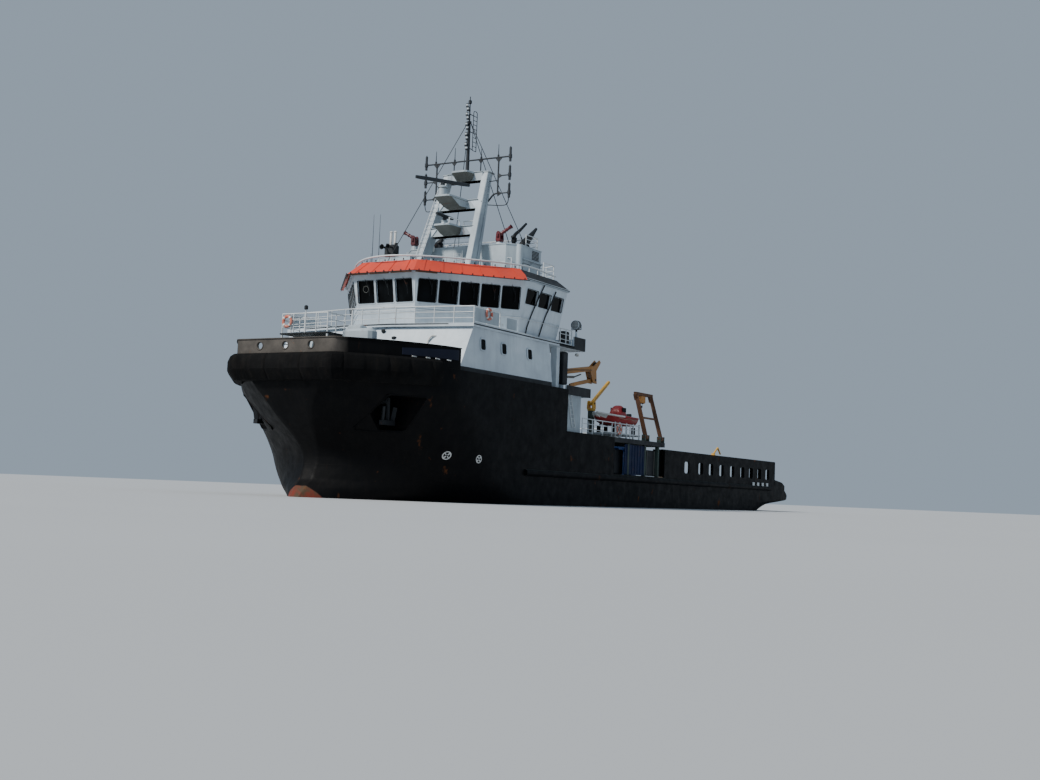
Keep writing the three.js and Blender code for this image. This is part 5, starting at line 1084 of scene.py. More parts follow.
def makeDavit():
    c = davitPlan
    x, y, z = c["x"], c["y"], c["z"]
    post = [(0, 0.38), (0.06, 0.38), (0.1, 0.34), (0.8, 0.34), (0.86, 0.38), (0.9, 0.3)]
    column = revolve((x, y, z + 0.005), (0, 0, 1), post, 32)
    boom = boxBoom((x + 0.4, y, z + 0.57), (c["tip"][0], y, c["tip"][1]), 0.42, 0.34)
    plate = [(3.78, 8.6), (4.3, 8.6), (4.72, 9.3), (4.75, 9.72), (4.25, 9.8), (3.47, 10.3), (3.27, 10.15), (3.9, 9.5)]
    plates = [extruded(plate, y + dy, y + dy + 0.07, "y") for dy in (-0.22, 0.15)]
    sheave = [(0, 0.05), (0, 0.16), (0.03, 0.13), (0.07, 0.13), (0.1, 0.16), (0.1, 0.05)]
    dark = [revolve((3.62, y + dy, 10.0), (0, 1, 0), sheave, 28, True) for dy in (-0.12, 0.01)]
    for side in (1, -1):
        hose = [(x - 0.3, y + side * 0.24, z + 0.75), (x - 1.5, y + side * 0.25, z + 0.92),
                (x - 3.0, y + side * 0.24, z + 1.06), (4.6, y + side * 0.24, 9.5)]
        dark.append(sweep(smoothPath(hose, 20), ringOutline(0.02, 8)))
    ram = [rods((x - 0.35, y, z + 0.35), (x - 2.2, y, z + 0.5), 0.085, 18),
           rods((x - 2.2, y, z + 0.5), (x - 3.2, y, z + 0.78), 0.05, 14)]
    makePiece("davitBeam", {"davitOrange": [column, boom, *plates], "darkSteel": dark, "wireSteel": ram}, "davit_boom")
    (pinX, pinZ), (endX, endZ) = c["pin"], c["end"]
    arm = boxBoom((pinX, y, pinZ), (endX, y, endZ), 0.14, 0.26, 0.7)
    hub = rods((pinX, y - 0.08, pinZ), (pinX, y + 0.08, pinZ), 0.17, 24)
    shaft = rods((pinX, y - 0.24, pinZ), (pinX, y + 0.24, pinZ), 0.08, 18)
    hookEye = revolve((endX - 0.16, y - 0.03, endZ), (0, 1, 0), [(0, 0.05), (0, 0.1), (0.06, 0.1), (0.06, 0.05)], 18, True)
    makePiece("davitArm", {"davitOrange": [arm, hub], "darkSteel": [shaft, hookEye]}, "davit_jib")


def makeCrane():
    c = cranePlan
    x, y, z, pinZ = c["x"], c["y"], c["z"], c["pinZ"]
    tipX, tipZ = x - c["reach"], pinZ + c["rise"]
    base = revolve((x, y, z + 0.005), (0, 0, 1), [(0, 0.3), (0.14, 0.3), (0.2, 0.24)], 28)
    cheek = [(x - 0.25, z + 0.15), (x + 0.25, z + 0.15), (x + 0.2, z + 0.66), (x + 0.1, z + 0.75), (x - 0.1, z + 0.75),
             (x - 0.2, z + 0.66)]
    cheeks = [extruded(cheek, y + dy, y + dy + 0.08, "y") for dy in (-0.25, 0.17)]
    makePiece("craneHead", {"craneYellow": [base, *cheeks]}, "crane_column")
    boom = boxBoom((x, y, pinZ), (tipX, y, tipZ), 0.18, 0.24, 0.75)
    hub = rods((x, y - 0.1, pinZ), (x, y + 0.1, pinZ), 0.17, 24)
    pin = rods((x, y - 0.27, pinZ), (x, y + 0.27, pinZ), 0.07, 16)
    tip = revolve((tipX + 0.1, y - 0.05, tipZ - 0.1), (0, 1, 0), [(0, 0.03), (0, 0.11), (0.1, 0.11), (0.1, 0.03)], 22, True)
    makePiece("craneArm", {"craneYellow": [boom, hub], "darkSteel": [pin, tip]}, "crane_boom")


def makeAFrame():
    headX = np.array([-1.26, -3.73])
    foot, head = spread((-1.45, -4.05), 7.25, level["boat"] + 0.3), spread(headX, 6.45, 8.35)
    legs = [boxBoom(foot[i], head[i], 0.22, 0.3, 0.85) for i in range(2)]
    feet = [rods(foot - (dx, 0, 0), foot + (dx, 0, 0), radius, sides) for dx, radius, sides in ((0.18, 0.17, 20),
                                                                                                (0.38, 0.08, 16))]
    beam = beams((-1.1, 6.45, 8.35), (-3.9, 6.45, 8.35), 0.24, 0.24, 0.03)
    tie = beams(*(foot + (head - foot) * 0.45), 0.14, 0.14, 0.02)
    gussets = [extruded([(x - 0.3, 8.25), (x + 0.3, 8.25), (x + 0.05, 7.85), (x - 0.05, 7.85)], 6.36, 6.54, "y")
               for x in headX]
    # The hoisting block, its sheave, two wires and the hook's ring
    block = blocks((-2.85, 6.2, 7.7), (-2.0, 6.5, 8.3), 0.06)
    groove = [(0, 0.03), (0, 0.14), (0.06, 0.1), (0.16, 0.1), (0.22, 0.14), (0.22, 0.03)]
    sheave = revolve((-2.42, 6.24, 7.78), (0, 1, 0), groove, 24, True)
    wire = rods(spread((-2.3, -2.55), 6.35, 7.72), spread((-2.3, -2.55), 6.35, 7.5), 0.016, 6)
    hook = revolve((-2.44, 6.3, 7.45), (0, 1, 0), [(0, 0.04), (0, 0.09), (0.1, 0.09), (0.1, 0.04)], 16, True)
    # The A-frame's brown includes painted shade
    parts = {"rustBrown": [*legs, *feet, beam, tie, *gussets], "davitOrange": [block], "darkSteel": [sheave, wire, hook]}
    makePiece("boatAFrame", parts, "boat_a_frame")


def makeRailDavit():
    post = revolve((-15.05, 6.9, 4.405), (0, 0, 1), [(0, 0.2), (0.05, 0.2), (0.08, 0.15), (0.18, 0.15), (0.2, 0.1)], 24)
    arm = sweep(path((-15.05, 6.9, 4.5), (-15.94, 6.9, 5.08), (-16.54, 6.9, 4.58)), boxOutline(0.11, 0.11, 0.02))
    makePiece("railDavit", {"craneYellow": [post, arm]}, "rail_davit")


makeDavit()
makeCrane()
makeAFrame()
makeRailDavit()
print("davits and crane made")

# Rescue boat on its cradle

boatPlan = {
    "origin": (0.2, 5.4, 5.41),
    # x, keel half width, keel height, chine half width, chine height, gunwale half width, gunwale height
    "stations": [(-2.4, 0.5, 0.55, 0.8, 0.9, 0.85, 1.15), (-1.0, 0.5, 0.47, 0.83, 0.82, 0.92, 1.15),
                 (0.8, 0.45, 0.42, 0.83, 0.77, 0.94, 1.15), (1.5, 0.3, 0.47, 0.68, 0.8, 0.84, 1.17),
                 (2.1, 0.16, 0.58, 0.45, 0.88, 0.6, 1.2), (2.55, 0.08, 0.78, 0.24, 1.0, 0.36, 1.25),
                 (2.86, 0.04, 1.02, 0.09, 1.14, 0.14, 1.29)],
    "cradleXs": (2.0, 1.3, 0.2, -0.9, -1.9), "chockXs": (-1.9, 0.2, 1.3),
}


def makeRescueBoat():
    c = boatPlan
    o = np.array(c["origin"])
    at = np.array(c["stations"])
    x = np.linspace(-2.4, 2.86, 34)[:, None]
    keel, keelZ, chine, chineZ, gun, gunZ = (column[:, None] for column in monotoneColumns(at[:, 0], at[:, 1:], x[:, 0]).T)
    # Half a section at each station: from the keel round the chine and the gunwale to the deck's middle
    y = np.concatenate([0 * keel, keel * 0.6, keel, (keel + chine) / 2 + 0.05, chine, gun, gun + 0.04, gun + 0.04, gun,
                        gun - 0.08, 0.5 * gun, 0 * gun], 1)
    z = np.concatenate([keelZ, keelZ, keelZ + 0.03, (keelZ + chineZ) / 2, chineZ, gunZ - 0.1, gunZ - 0.07, gunZ,
                        gunZ + 0.03,
                        gunZ - 0.02, gunZ - 0.04, gunZ - 0.04], 1)
    ring = spread(x, y, z)
    hull = placed(gridSurface(np.concatenate([ring, ring[:, -2:0:-1] * (1, -1, 1)], 1)), o)
    # Canopy: its section is wide = cos^0.55 and high = sin^0.5, and it leans forward at the front
    turn = np.linspace(0, np.pi, 21)
    wide, high = np.sign(np.cos(turn)) * np.abs(np.cos(turn)) ** 0.55, np.sin(turn) ** 0.5
    share = np.linspace(0, 1, 12)[:, None]
    roof = 1.12 + 0.88 * np.sin(np.pi * np.clip(share, 0.02, 0.98)) ** 0.3
    xs = -1.28 + 1.16 * share
    grid = spread(xs - 0.12 * (share - 0.5) * high, 0.5 * wide * (1 - 0.12 * high), 1.0 + (roof - 1.0) * high)
    canopy = placed(gridSurface(np.concatenate([grid, spread(xs, 0, 0.95)], 1)), o)
    panes = [blocks(o + (-1.05, side * 0.485 - 0.012, 1.5), o + (-0.45, side * 0.485 + 0.012, 1.82), 0.01)
             for side in (1, -1)]
    bights = np.array([(-2.2, 0.93, 1.0), (-1.4, 0.99, 0.92), (-0.6, 1.0, 1.0), (0.2, 1.0, 0.92), (1.0, 0.98, 1.0)])
    line = [sweep(smoothPath(o + bights * (1, side, 1), 30), ringOutline(0.015, 6)) for side in (1, -1)]
    engine = blocks(o + (-2.62, -0.2, 0.7), o + (-2.42, 0.2, 1.5), 0.05)

    def isWhite(centre, normal):
        return (centre[:, 2] > o[2] + 0.98) & (centre[:, 2] < o[2] + 1.3) & (centre[:, 0] > o[0])
    parts = {"boatRed": [hull, canopy], "windowGlass": panes, "ropeTan": line, "darkSteel": [engine]}
    makePiece("rescueBoat", parts, "rescue_boat", also={"boatWhite": isWhite})
    # The cradle: posts with cross beams, a sill along each side, and chocks under the hull
    deck, side = level["boat"], np.array((1, -1))
    cradleX, chockX = np.array(c["cradleXs"]), np.repeat(c["chockXs"], 2)
    postX, postY, chockY = np.repeat(cradleX, 2), np.tile(o[1] + side * 1.08, 5), o[1] + np.tile(side, 3) * 0.45
    posts = [rods(spread(postX, postY, deck), spread(postX, postY, deck + 1.2), 0.055, 12),
             beams(spread(cradleX, o[1] - 1.1, deck + 0.37), spread(cradleX, o[1] + 1.1, deck + 0.37), 0.1, 0.12),
             beams(spread(-2.0, o[1] + side * 1.08, deck + 0.37), spread(2.1, o[1] + side * 1.08, deck + 0.37), 0.1, 0.12)]
    chocks = blocks(spread(chockX - 0.05, chockY, deck + 0.43), spread(chockX + 0.05, chockY + np.tile(side, 3) * 0.3,
                                                                       deck + 0.98))
    makePiece("boatCradle", {"railWhite": posts, "fenderRubber": [chocks]}, "boat_cradle")


makeRescueBoat()
print("rescue boat made")

# Towing winch

winchPlan = {"x": -6.0, "upper": (-5.95, 4.35), "lower": (-6.85, 3.25), "cheeks": (-3.2, 0.0, 3.2),
             # Each drum: its flange's radius and the radius that the wire is wound to
             "drums": {"Upper": (0.62, 0.45), "Lower": (0.6, 0.42)}}


def drumShapes(x, z, flange, wound):
    # Two drums on one shaft, with wire in turns side by side: its radius is wound + 0.035 |sin|
    rim, core = flange - 0.02, 0.3
    profile = [(0, 0.16), (0, rim), (0.02, flange), (0.08, flange), (0.1, rim), (0.1, core), (2.68, core), (2.68, rim),
               (2.7, flange), (2.76, flange), (2.78, rim), (2.78, 0.16)]
    along = np.linspace(0.11, 2.67, 145)
    turns = np.stack([along, wound + 0.035 * np.abs(np.sin(np.pi * (along - 0.11) / 0.08))], 1)
    steel = [revolve((x, start, z), (0, 1, 0), profile, 48) for start in (0.21, -2.99)]
    wire = [revolve((x, start, z), (0, 1, 0), turns, 40) for start in (0.21, -2.99)]
    return [*steel, rods((x, -3.5, z), (x, 3.5, z), 0.16, 24)], wire


def makeWinch():
    c = winchPlan
    for name, (flange, wound) in c["drums"].items():
        steel, wire = drumShapes(*c[name.lower()], flange, wound)
        makePiece("winchDrum" + name, {"darkSteel": steel, "wireSteel": wire}, "winch_drum_" + name.lower())
    x, deck, cheekY = c["x"], level["main"], np.array(c["cheeks"])
    cheek = [(x - 1.9, deck + 0.1), (x + 1.2, deck + 0.1), (x + 1.2, 5.12), (x + 1.12, 5.2), (x - 0.25, 5.2),
             (x - 0.36, 5.14), (x - 1.9, 3.4)]
    plates = [extruded(cheek, y - 0.12, y + 0.12, "y") for y in cheekY]
    bosses = [rods(spread(bossX, cheekY - 0.15, bossZ), spread(bossX, cheekY + 0.15, bossZ), 0.34, 28)
              for bossX, bossZ in (c["upper"], c["lower"])]
    bed = blocks((x - 2.0, -3.4, deck + 0.003), (x + 1.3, 3.4, deck + 0.2), 0.04)
    tie = beams((x + 1.05, -3.3, 5.05), (x + 1.05, 3.3, 5.05), 0.3, 0.3, 0.03)
    ribY = (cheekY[:, None] + (0.13, -0.13)).ravel()
    stiffeners = beams(spread(x + 1.15, ribY, deck + 0.2), spread(x + 1.15, ribY, 5.1), 0.1, 0.06)
    motors = [revolve((c["upper"][0] + 0.9, side * 3.2, 3.3), (0, side, 0), [(0, 0.3), (0.2, 0.34), (0.24, 0.2)], 28)
              for side in (1, -1)]
    makePiece("winchBase", {"winchBlue": [*plates, *bosses, bed, tie, stiffeners, *motors]}, "winch_frame")


makeWinch()

# Working deck: planks, stern roller, towing pins, cargo rails

sternPlan = {"plankWide": 0.3, "plankGap": 0.02, "aft": -28.9, "fore": -8.3, "half": 5.6, "pinGap": (-27.92, -27.28)}
cargoRailPlan = {
    "aft": -28.1, "fore": -4.45, "top": 4.4, "skin": 0.14,
    "openings": (-8.6, -11.3, -13.4, -15.6, -17.9, -20.2, -22.2, -24.2, -26.2), "openHalf": 0.45, "openLow": 2.75,
    "openHigh": 3.65,
    "frames": (-7.2, -9.95, -12.35, -14.5, -16.75, -19.05, -21.2, -23.2, -25.2, -27.4),
    # The quarter's lower and upper edges: x and z
    "quarterLow": ((-30.9, -29.9, -28.0), (1.905, 2.303, 2.303)), "quarterHigh": ((-30.9, -30.1, -28.0), (2.3, 2.6, 2.8)),
}


def makeWorkingDeck():
    c = sternPlan
    count = int(2 * c["half"] / c["plankWide"])
    y = -c["half"] + (np.arange(count) + 0.5) * (2 * c["half"] / count)
    half = c["half"] / count - c["plankGap"] / 2
    # Four lengths of plank in each row, with their ends staggered from row to row
    breaks = np.linspace(c["aft"], c["fore"], 5)
    shift = (np.arange(count) % 3 - 1) * 1.2
    starts = [c["aft"] + 0 * y, *(breaks[i] + shift + 0.01 for i in (1, 2, 3))]
    ends = [*(breaks[i] + shift - 0.01 for i in (1, 2, 3)), c["fore"] + 0 * y]
    lows = np.concatenate([spread(a, y - half, level["main"] + 0.004) for a in starts])
    highs = np.concatenate([spread(b, y + half, level["main"] + 0.1) for b in ends])
    # Planks over the towing pins stop on each side of them
    h = hullLines
    beside = np.abs(np.abs((lows[:, 1] + highs[:, 1]) / 2) - h["pinY"])
    pin = (lows[:, 0] < h["pinX"]) & (highs[:, 0] > h["pinX"]) & (beside < half + 0.32)
    aftHigh, foreLow = highs[pin].copy(), lows[pin].copy()
    aftHigh[:, 0], foreLow[:, 0] = c["pinGap"]
    lows, highs = np.concatenate([lows[~pin], lows[pin], foreLow]), np.concatenate([highs[~pin], aftHigh, highs[pin]])
    makePiece("deckPlanks", {"deckTimber": [blocks(lows, highs, 0.012)]}, "deck_sheathing")
    roller = revolve((h["rollerX"], -h["rollerHalf"], h["rollerZ"]), (0, 1, 0),
                     [(0, 0.2), (0.0, 0.95), (0.04, 1.0), (5.36, 1.0), (5.4, 0.95), (5.4, 0.2)], 96)
    makePiece("sternRoller", {"wireSteel": [roller]}, "stern_roller")
    for name, side in (("port", 1), ("starboard", -1)):
        shape = [(0, 0.2), (0.0, 0.23), (1.42, 0.24), (1.49, 0.22), (1.51, 0.15)]
        body = revolve((h["pinX"], side * h["pinY"], 0.91), (0, 0, 1), shape, 32)
        makePiece("towingPin" + name, {"darkSteel": [body]}, "towing_pin_" + name)


def sideLine(fromX, toX, sign):
    # The deck edge on one side between two stations, z left out, and the outward normal at each point
    ring = waterline([7.6])[0]
    port = ring[:len(ring) // 2 + 1]
    line = port[(port[:, 0] > fromX + 0.01) & (port[:, 0] < toX - 0.01) & (port[:, 1] > 3)]
    half = port[:len(port) // 2]
    ends = [[(x, np.interp(x, half[:, 0], half[:, 1]), 0)] for x in (fromX, toX)]
    line = np.concatenate([ends[0], line, ends[1]]) * (1, sign, 0)
    ahead = unit(np.gradient(line, axis=0))
    return line, np.stack([-ahead[:, 1], ahead[:, 0], 0 * ahead[:, 0]], 1) * sign


def makeCargoRails():
    c = cargoRailPlan
    low, top, skin = level["main"] + 0.003, c["top"], c["skin"]
    for name, sign in (("port", 1), ("starboard", -1)):
        line, out = sideLine(c["aft"], c["fore"] - 0.003, sign)
        section = np.array([(0, low), (0, top - 0.05), (-0.05, top), (-1.0, top), (-1.0, top - 0.35), (-skin, top - 0.35),
                            (-skin, low)])
        grid = line[:, None] + out[:, None] * section[:, :1]
        grid[..., 2] = section[:, 1]
        h = c["openHalf"]
        holes = [np.roll(cutCorners(x - h, x + h, c["openLow"], c["openHigh"], 0.12), 1, 0) for x in c["openings"]]
        wall = cutAway(gridSurface(grid), [extruded(hole, sign * 6, sign * 8, "y") for hole in holes])
        # Frames inside between the openings, and a low wall round the quarter
        frames = beams(spread(c["frames"], sign * 7.12, low), spread(c["frames"], sign * 7.12, top - 0.36), 0.36, 0.1)
        edge, edgeOut = sideLine(-30.9, -28.0, sign)
        low1, high1 = (np.interp(edge[:, 0], *c[key]) for key in ("quarterLow", "quarterHigh"))
        inner = edge - edgeOut * skin
        ring = [spread(*run[:, :2].T, z) for run, z in ((edge, low1), (edge, high1), (inner, high1), (inner, low1))]
        quarter = gridSurface(np.stack(ring, 1))

        def onTop(centre, normal):
            return (normal[:, 2] > 0.9) & (centre[:, 2] > top - 0.1)
        parts = {"hullPaint": [wall, frames, quarter]}
        makePiece("cargoRail" + name, parts, "cargo_rail_" + name, also={"deckGreen": onTop})


makeWorkingDeck()
makeCargoRails()
print("working deck made")

# Wheelhouse: window frames, wipers and rails. Its walls, glass and roof are CAD nodes

wheelhousePlan = {
    "base": [(10.35, 4.4), (11.1, 6.45), (15.9, 6.45), (20.85, 2.1), (20.85, -2.1), (15.9, -6.45), (11.1, -6.45),
             (10.35, -4.4)],
    "lean": 0.17, "floor": 10.56, "sill": 12.14, "windowTop": 13.53, "eave": 14.0,
    # Windows of each wall: the corner it starts at, count, plain wall before and after, wall between two windows, sill
    "walls": ((0, 2, 0.25, 0.25, 0.26, 12.14), (1, 3, 0.02, 0.2, 0.22, 12.6), (2, 5, 0.06, 0.06, 0.14, 12.14),
              (3, 3, 0.04, 0.04, 0.18, 12.14), (4, 5, 0.06, 0.06, 0.14, 12.14), (5, 3, 0.2, 0.02, 0.22, 12.6),
              (6, 2, 0.25, 0.25, 0.26, 12.14), (7, 5, 0.4, 0.4, 0.26, 12.14)),
    "doorWall": 7, "doorWindow": 2, "wipedWalls": (2, 3, 4), "bandZ": 11.78, "grabZ": 11.62,
}


def insetRing(points, amount):
    # Each corner moves in along the mitre of its two edges; the ring runs clockwise seen from above
    p = np.array(points, float)
    ahead = unit(np.roll(p, -1, 0) - p)
    out = np.stack([-ahead[:, 1], ahead[:, 0]], 1)
    mitre = out + np.roll(out, 1, 0)
    mitre /= np.einsum("ij,ij->i", mitre, out)[:, None]
    return p - mitre * amount


def houseRing(z, thickness=0.0):
    c = wheelhousePlan
    ring = insetRing(c["base"], thickness - c["lean"] * (z - c["floor"]))
    return spread(*ring.T, z)


def roofRing(inward, z):
    ring = insetRing(houseRing(wheelhousePlan["eave"], -0.12)[:, :2], inward)
    return spread(*ring.T, z)


def makeWindowTrim():
    # Each window has a white frame with a dark gasket inside it, and the front ones have wipers
    c = wheelhousePlan
    corners = houseRing(c["sill"])
    frames, gaskets, wipers = [], [], []
    for start, count, before, after, between, sill in c["walls"]:
        a, b = corners[start, :2], corners[(start + 1) % 8, :2]
        long = np.linalg.norm(b - a)
        ahead = (b - a) / long
        out = np.array([-ahead[1], ahead[0]])
        outward3 = (out[0], out[1], -c["lean"])
        pitch = (long - before - after) / count
        half = (pitch - between) / 2
        for i in range(count):
            if start == c["doorWall"] and i == c["doorWindow"]:
                continue
            middle = before + pitch * (i + 0.5)

            def onFace(s, z, lift=0.02):
                x, y = a + ahead * (middle + s) + out * (c["lean"] * (z - c["sill"]) + lift)
                return (x, y, z)
            high = c["windowTop"]
            outline = cutCorners(-half, half, sill, high, 0.07)
            gaskets.append(sweep(path(*[onFace(s, z) for s, z in outline]), boxOutline(0.03, 0.04, 0.008), True, outward3))
            wide = [(s + 0.05 * np.sign(s), z + (0.05 if z > (sill + high) / 2 else -0.05)) for s, z in outline]
            frames.append(sweep(path(*[onFace(s, z, 0.008) for s, z in wide]), boxOutline(0.06, 0.03, 0.008), True,
                                outward3))
            if start in c["wipedWalls"]:
                arm = [onFace(0.0, high + 0.1, 0.05), onFace(-half * 0.45, high - 0.55, 0.05)]
                blade = [onFace(-half * 0.45, high - 0.25, 0.05), onFace(-half * 0.45, high - 0.95, 0.05)]
                wipers.append(rods([arm[0], blade[0]], [arm[1], blade[1]], 0.014, 6))
    # A clear-view disc in the starboard front window
    disc = revolve((corners[3, 0] + c["lean"] * 0.85 + 0.03, -1.43, 12.99), (1, 0, -c["lean"]),
                   ovalSection(0.01, 0.012, 0.2, 9), 28, True)
    makePiece("windowFrames", {"houseWhite": frames, "darkSteel": gaskets + wipers, "mastShadeAndDarkGrey": [disc]})
    # Flat rail under the windows, and the grab rail round the front walls on its brackets
    strip = sweep(houseRing(c["bandZ"], -0.015), boxOutline(0.03, 0.06, 0.01), True)
    grab = houseRing(c["grabZ"], -0.11)[1:7]
    feet = alongRing(grab, 0.08, 0.92, 6)
    away = feet[:, :2] - (14.5, 0)
    inner = feet - 0.12 * spread(*unit(away).T, 0)
    rails = [sweep(grab, ringOutline(0.022, 8)), rods(feet, inner, 0.014, 6)]
    makePiece("houseRails", {"houseWhite": [strip], "railWhite": rails})


def alongRing(ring, first, last, count):
    # Points spread over each edge of an open ring, from one share of its length to another
    return np.concatenate([a + (b - a) * np.linspace(first, last, count)[:, None] for a, b in zip(ring[:-1], ring[1:])])


makeWindowTrim()

visorTrimPlan = {
    # Lamp troughs along the lower edge: wall's first corner, from and to along it as a share
    "troughs": ((3, 0.04, 0.34), (3, 0.38, 0.66), (3, 0.70, 0.97), (2, 0.80, 0.985), (4, 0.015, 0.2)),
    "bracketEvery": 0.62, "ribEvery": 1.1, "walls": (2, 3, 4),
}


def makeVisorTrim():
    c = visorTrimPlan
    lower = houseRing(13.9, -0.36)
    troughs = [beams(lower[i] + (lower[i + 1] - lower[i]) * a, lower[i] + (lower[i + 1] - lower[i]) * b, 0.1, 0.13, 0.03)
               for i, a, b in c["troughs"]]
    brackets, ribs = [sweep(houseRing(13.915, -0.425)[2:6], boxOutline(0.03, 0.05, 0.01))], []
    for start in c["walls"]:
        for line in (roofRing(0.66, 14.84), houseRing(13.98, -0.44)):
            p, q = line[start], line[start + 1]
            count = int(np.linalg.norm(q - p) / c["bracketEvery"])
            at = p + (q - p) * ((np.arange(count) + 0.5) / count)[:, None]
            step = unit(q - p) * 0.03
            brackets.append(beams(at - step, at + step, 0.05, 0.1, 0.01))
        # Stiffening ribs over the visor's slope: from the eave to the roof's edge
        (low0, low1), (up0, up1) = houseRing(13.94, -0.44)[start:start + 2], roofRing(0.71, 14.83)[start:start + 2]
        count = max(2, int(np.linalg.norm(low1 - low0) / c["ribEvery"]))
        share = ((np.arange(count) + 0.5) / count)[:, None]
        ribs.append(beams(low0 + (low1 - low0) * share, up0 + (up1 - up0) * share, 0.025, 0.02, 0.005))
    makePiece("visorTrim", {"rustBrown": troughs, "darkSteel": brackets, "visorOrange": ribs})
    # A pipe rail stands round the roof's forward edge on short feet
    ring = roofRing(0.8, 15.02)[1:7]
    feet = alongRing(ring, 0.05, 0.95, 5)
    pipe = sweep(smoothPath(ring, 60), ringOutline(0.05, 10))
    makePiece("roofPipe", {"railWhite": [pipe, rods(feet - (0, 0, 0.27), feet, 0.03, 6)]})


makeVisorTrim()

roofPlan = {
    # Whips on the roof: x, y, foot, height
    "whips": ((14.9, -6.1, 14.76, 1.9), (14.9, -6.0, 14.76, 4.6), (14.9, -5.45, 14.76, 4.55)),
    # Thin posts ahead of the casing: x, y, height
    "posts": ((13.75, 0.62, 1.9), (13.75, 2.1, 1.25), (13.9, -1.2, 1.3), (13.9, -2.6, 1.2)),
    "deck": 14.76, "casingSide": 4.5, "casingTop": 17.0,
}


def roofSkirt():
    # A dark sheet over the roof's sloping edge, abaft the visor on both sides and across the stern
    low, high = roofRing(-0.02, 14.1), roofRing(0.73, 14.76)
    order = [5, 6, 7, 0, 1, 2]
    return gridSurface(np.stack([low[order], high[order], high[order] - (0, 0, 0.03), low[order] - (0, 0, 0.03)], 1))


def makeRoofGear():
    c = roofPlan
    deck, top = c["deck"], c["casingTop"]
    # A locker on the starboard side; above it a horn housing with two trumpets and two white tubes
    grey = [extruded([(-5.9, deck), (-2.6, deck), (-2.6, 16.2), (-5.2, 16.2), (-5.6, 15.9)], 14.5, 15.2, "x"),
            blocks((14.48, -5.3, 16.2), (15.22, -2.58, 16.25), 0.015)]
    dark = [blocks((14.6, -4.9, 16.25), (15.1, -3.9, 17.15), 0.12)]
    dark += [rods((14.85, y, 16.3), (14.85, y, 17.25), 0.12, 16) for y in (-4.75, -4.05)]
    horn = [(0, 0.05), (0.2, 0.06), (0.42, 0.1), (0.55, 0.19), (0.56, 0.16), (0.3, 0.05)]
    dark += [revolve((15.1, y, 16.9), (1, 0, 0), horn, 20) for y in (-4.65, -4.15)]
    pale = [rods((14.85, y, 17.1), (14.85, y, 18.0), 0.085, 16) for y in (-4.5, -4.15)]
    pale += [revolve((14.85, y, 18.0), (0, 0, 1), [(0, 0.12), (0.03, 0.12), (0.09, 0.04)], 16) for y in (-4.5, -4.15)]
    # A domed lamp on a post and a small dome aerial
    lamp = [(0, 0.12), (0.05, 0.32), (0.3, 0.36), (0.52, 0.28), (0.62, 0.1)]
    pale.append(revolve((13.75, -2.05, 16.7), (0, 0, 1), lamp, 28))
    pale.append(rods((13.75, -2.05, deck), (13.75, -2.05, 16.75), 0.07, 12))
    dome = [(0, 0.12), (0.7, 0.12), (0.72, 0.4), (1.0, 0.45), (1.3, 0.36), (1.45, 0.15)]
    pale.append(revolve((11.2, -5.6, deck), (0, 0, 1), dome, 28))
    # Thin posts, a short ladder and a frame ahead of the casing
    rails = [rods((x, y, deck), (x, y, deck + h), 0.035, 8) for x, y, h in c["posts"]]
    rails.append(rods((13.75, 0.62, 15.95), (13.75, 4.0, 15.7), 0.02, 8))
    rails += [beams((13.6, -0.15, z), (13.6, 0.4, z), 0.03, 0.03, 0.005) for z in (15.75, 16.0, 16.25, 16.5)]
    rails += [beams((13.6, y, deck), (13.6, y, 16.55), 0.04, 0.04, 0.005) for y in (-0.15, 0.4)]
    rails.append(beams([(13.3, 3.1, 15.15), (13.3, 4.2, 15.15), (13.3, 3.1, 16.1)],
                       [(13.3, 3.1, 16.1), (13.3, 4.2, 16.05), (13.3, 4.2, 16.05)], 0.05, 0.03, 0.006))
    whips = [rods((x, y, z), (x, y, z + h), 0.028, 8, 0.35) for x, y, z, h in c["whips"]]
    whips += [rods((x, y, z), (x, y, z + 0.4), 0.05, 8) for x, y, z, h in c["whips"]]
    # Casing: corner column, ledge with its brackets, a door outlined by a dark gap, side slats, and a rim round its top
    for side in (1, -1):
        y = side * c["casingSide"]
        grey.append(rods((12.72, side * 4.45, 14.78), (12.72, side * 4.45, top), 0.22, 20))
        grey.append(blocks((10.0, y, 16.05), (12.6, side * 4.72, 16.13), 0.015))
        x = np.array((10.2, 11.3, 12.4))
        grey.append(beams(spread(x, side * 4.52, 15.85), spread(x, side * 4.68, 16.05), 0.05))
        door = [(12.35, 14.95), (11.5, 14.95), (11.5, 15.85), (12.35, 15.85)]
        dark.append(sweep(path(*[(x, side * 4.51, z) for x, z in door]), boxOutline(0.03, 0.03, 0.005), True, (0, 1, 0)))
        slatZ = np.arange(16.3, 16.85, 0.09)
        dark.append(beams(spread(10.3, side * 4.51, slatZ), spread(11.2, side * 4.51, slatZ), 0.03, 0.05, 0.005))
    rim = [(10.0, 4.5), (12.7, 4.5), (13.4, 3.8), (13.4, -3.8), (12.7, -4.5), (10.0, -4.5)]
    grey.append(sweep(path(*[(x, y, top) for x, y in rim]), boxOutline(0.08, 0.06), True))
    # The rail between the mast's legs, and one round each after corner of the roof
    rails += railing([(13.3, -1.2), (13.3, 1.2)], 17.02, 0.9)
    for side in (1, -1):
        rails += railing([(12.6, side * 6.25), (11.25, side * 6.25), (10.65, side * 4.75)], 14.75, 1.0, 3, 0.9)
    dark.append(roofSkirt())
    parts = {"mastGrey": grey, "darkSteel": dark, "boatWhite": pale, "antennaDark": whips, "railWhite": rails}
    makePiece("roofGear", parts)


makeRoofGear()
print("roof fittings made")

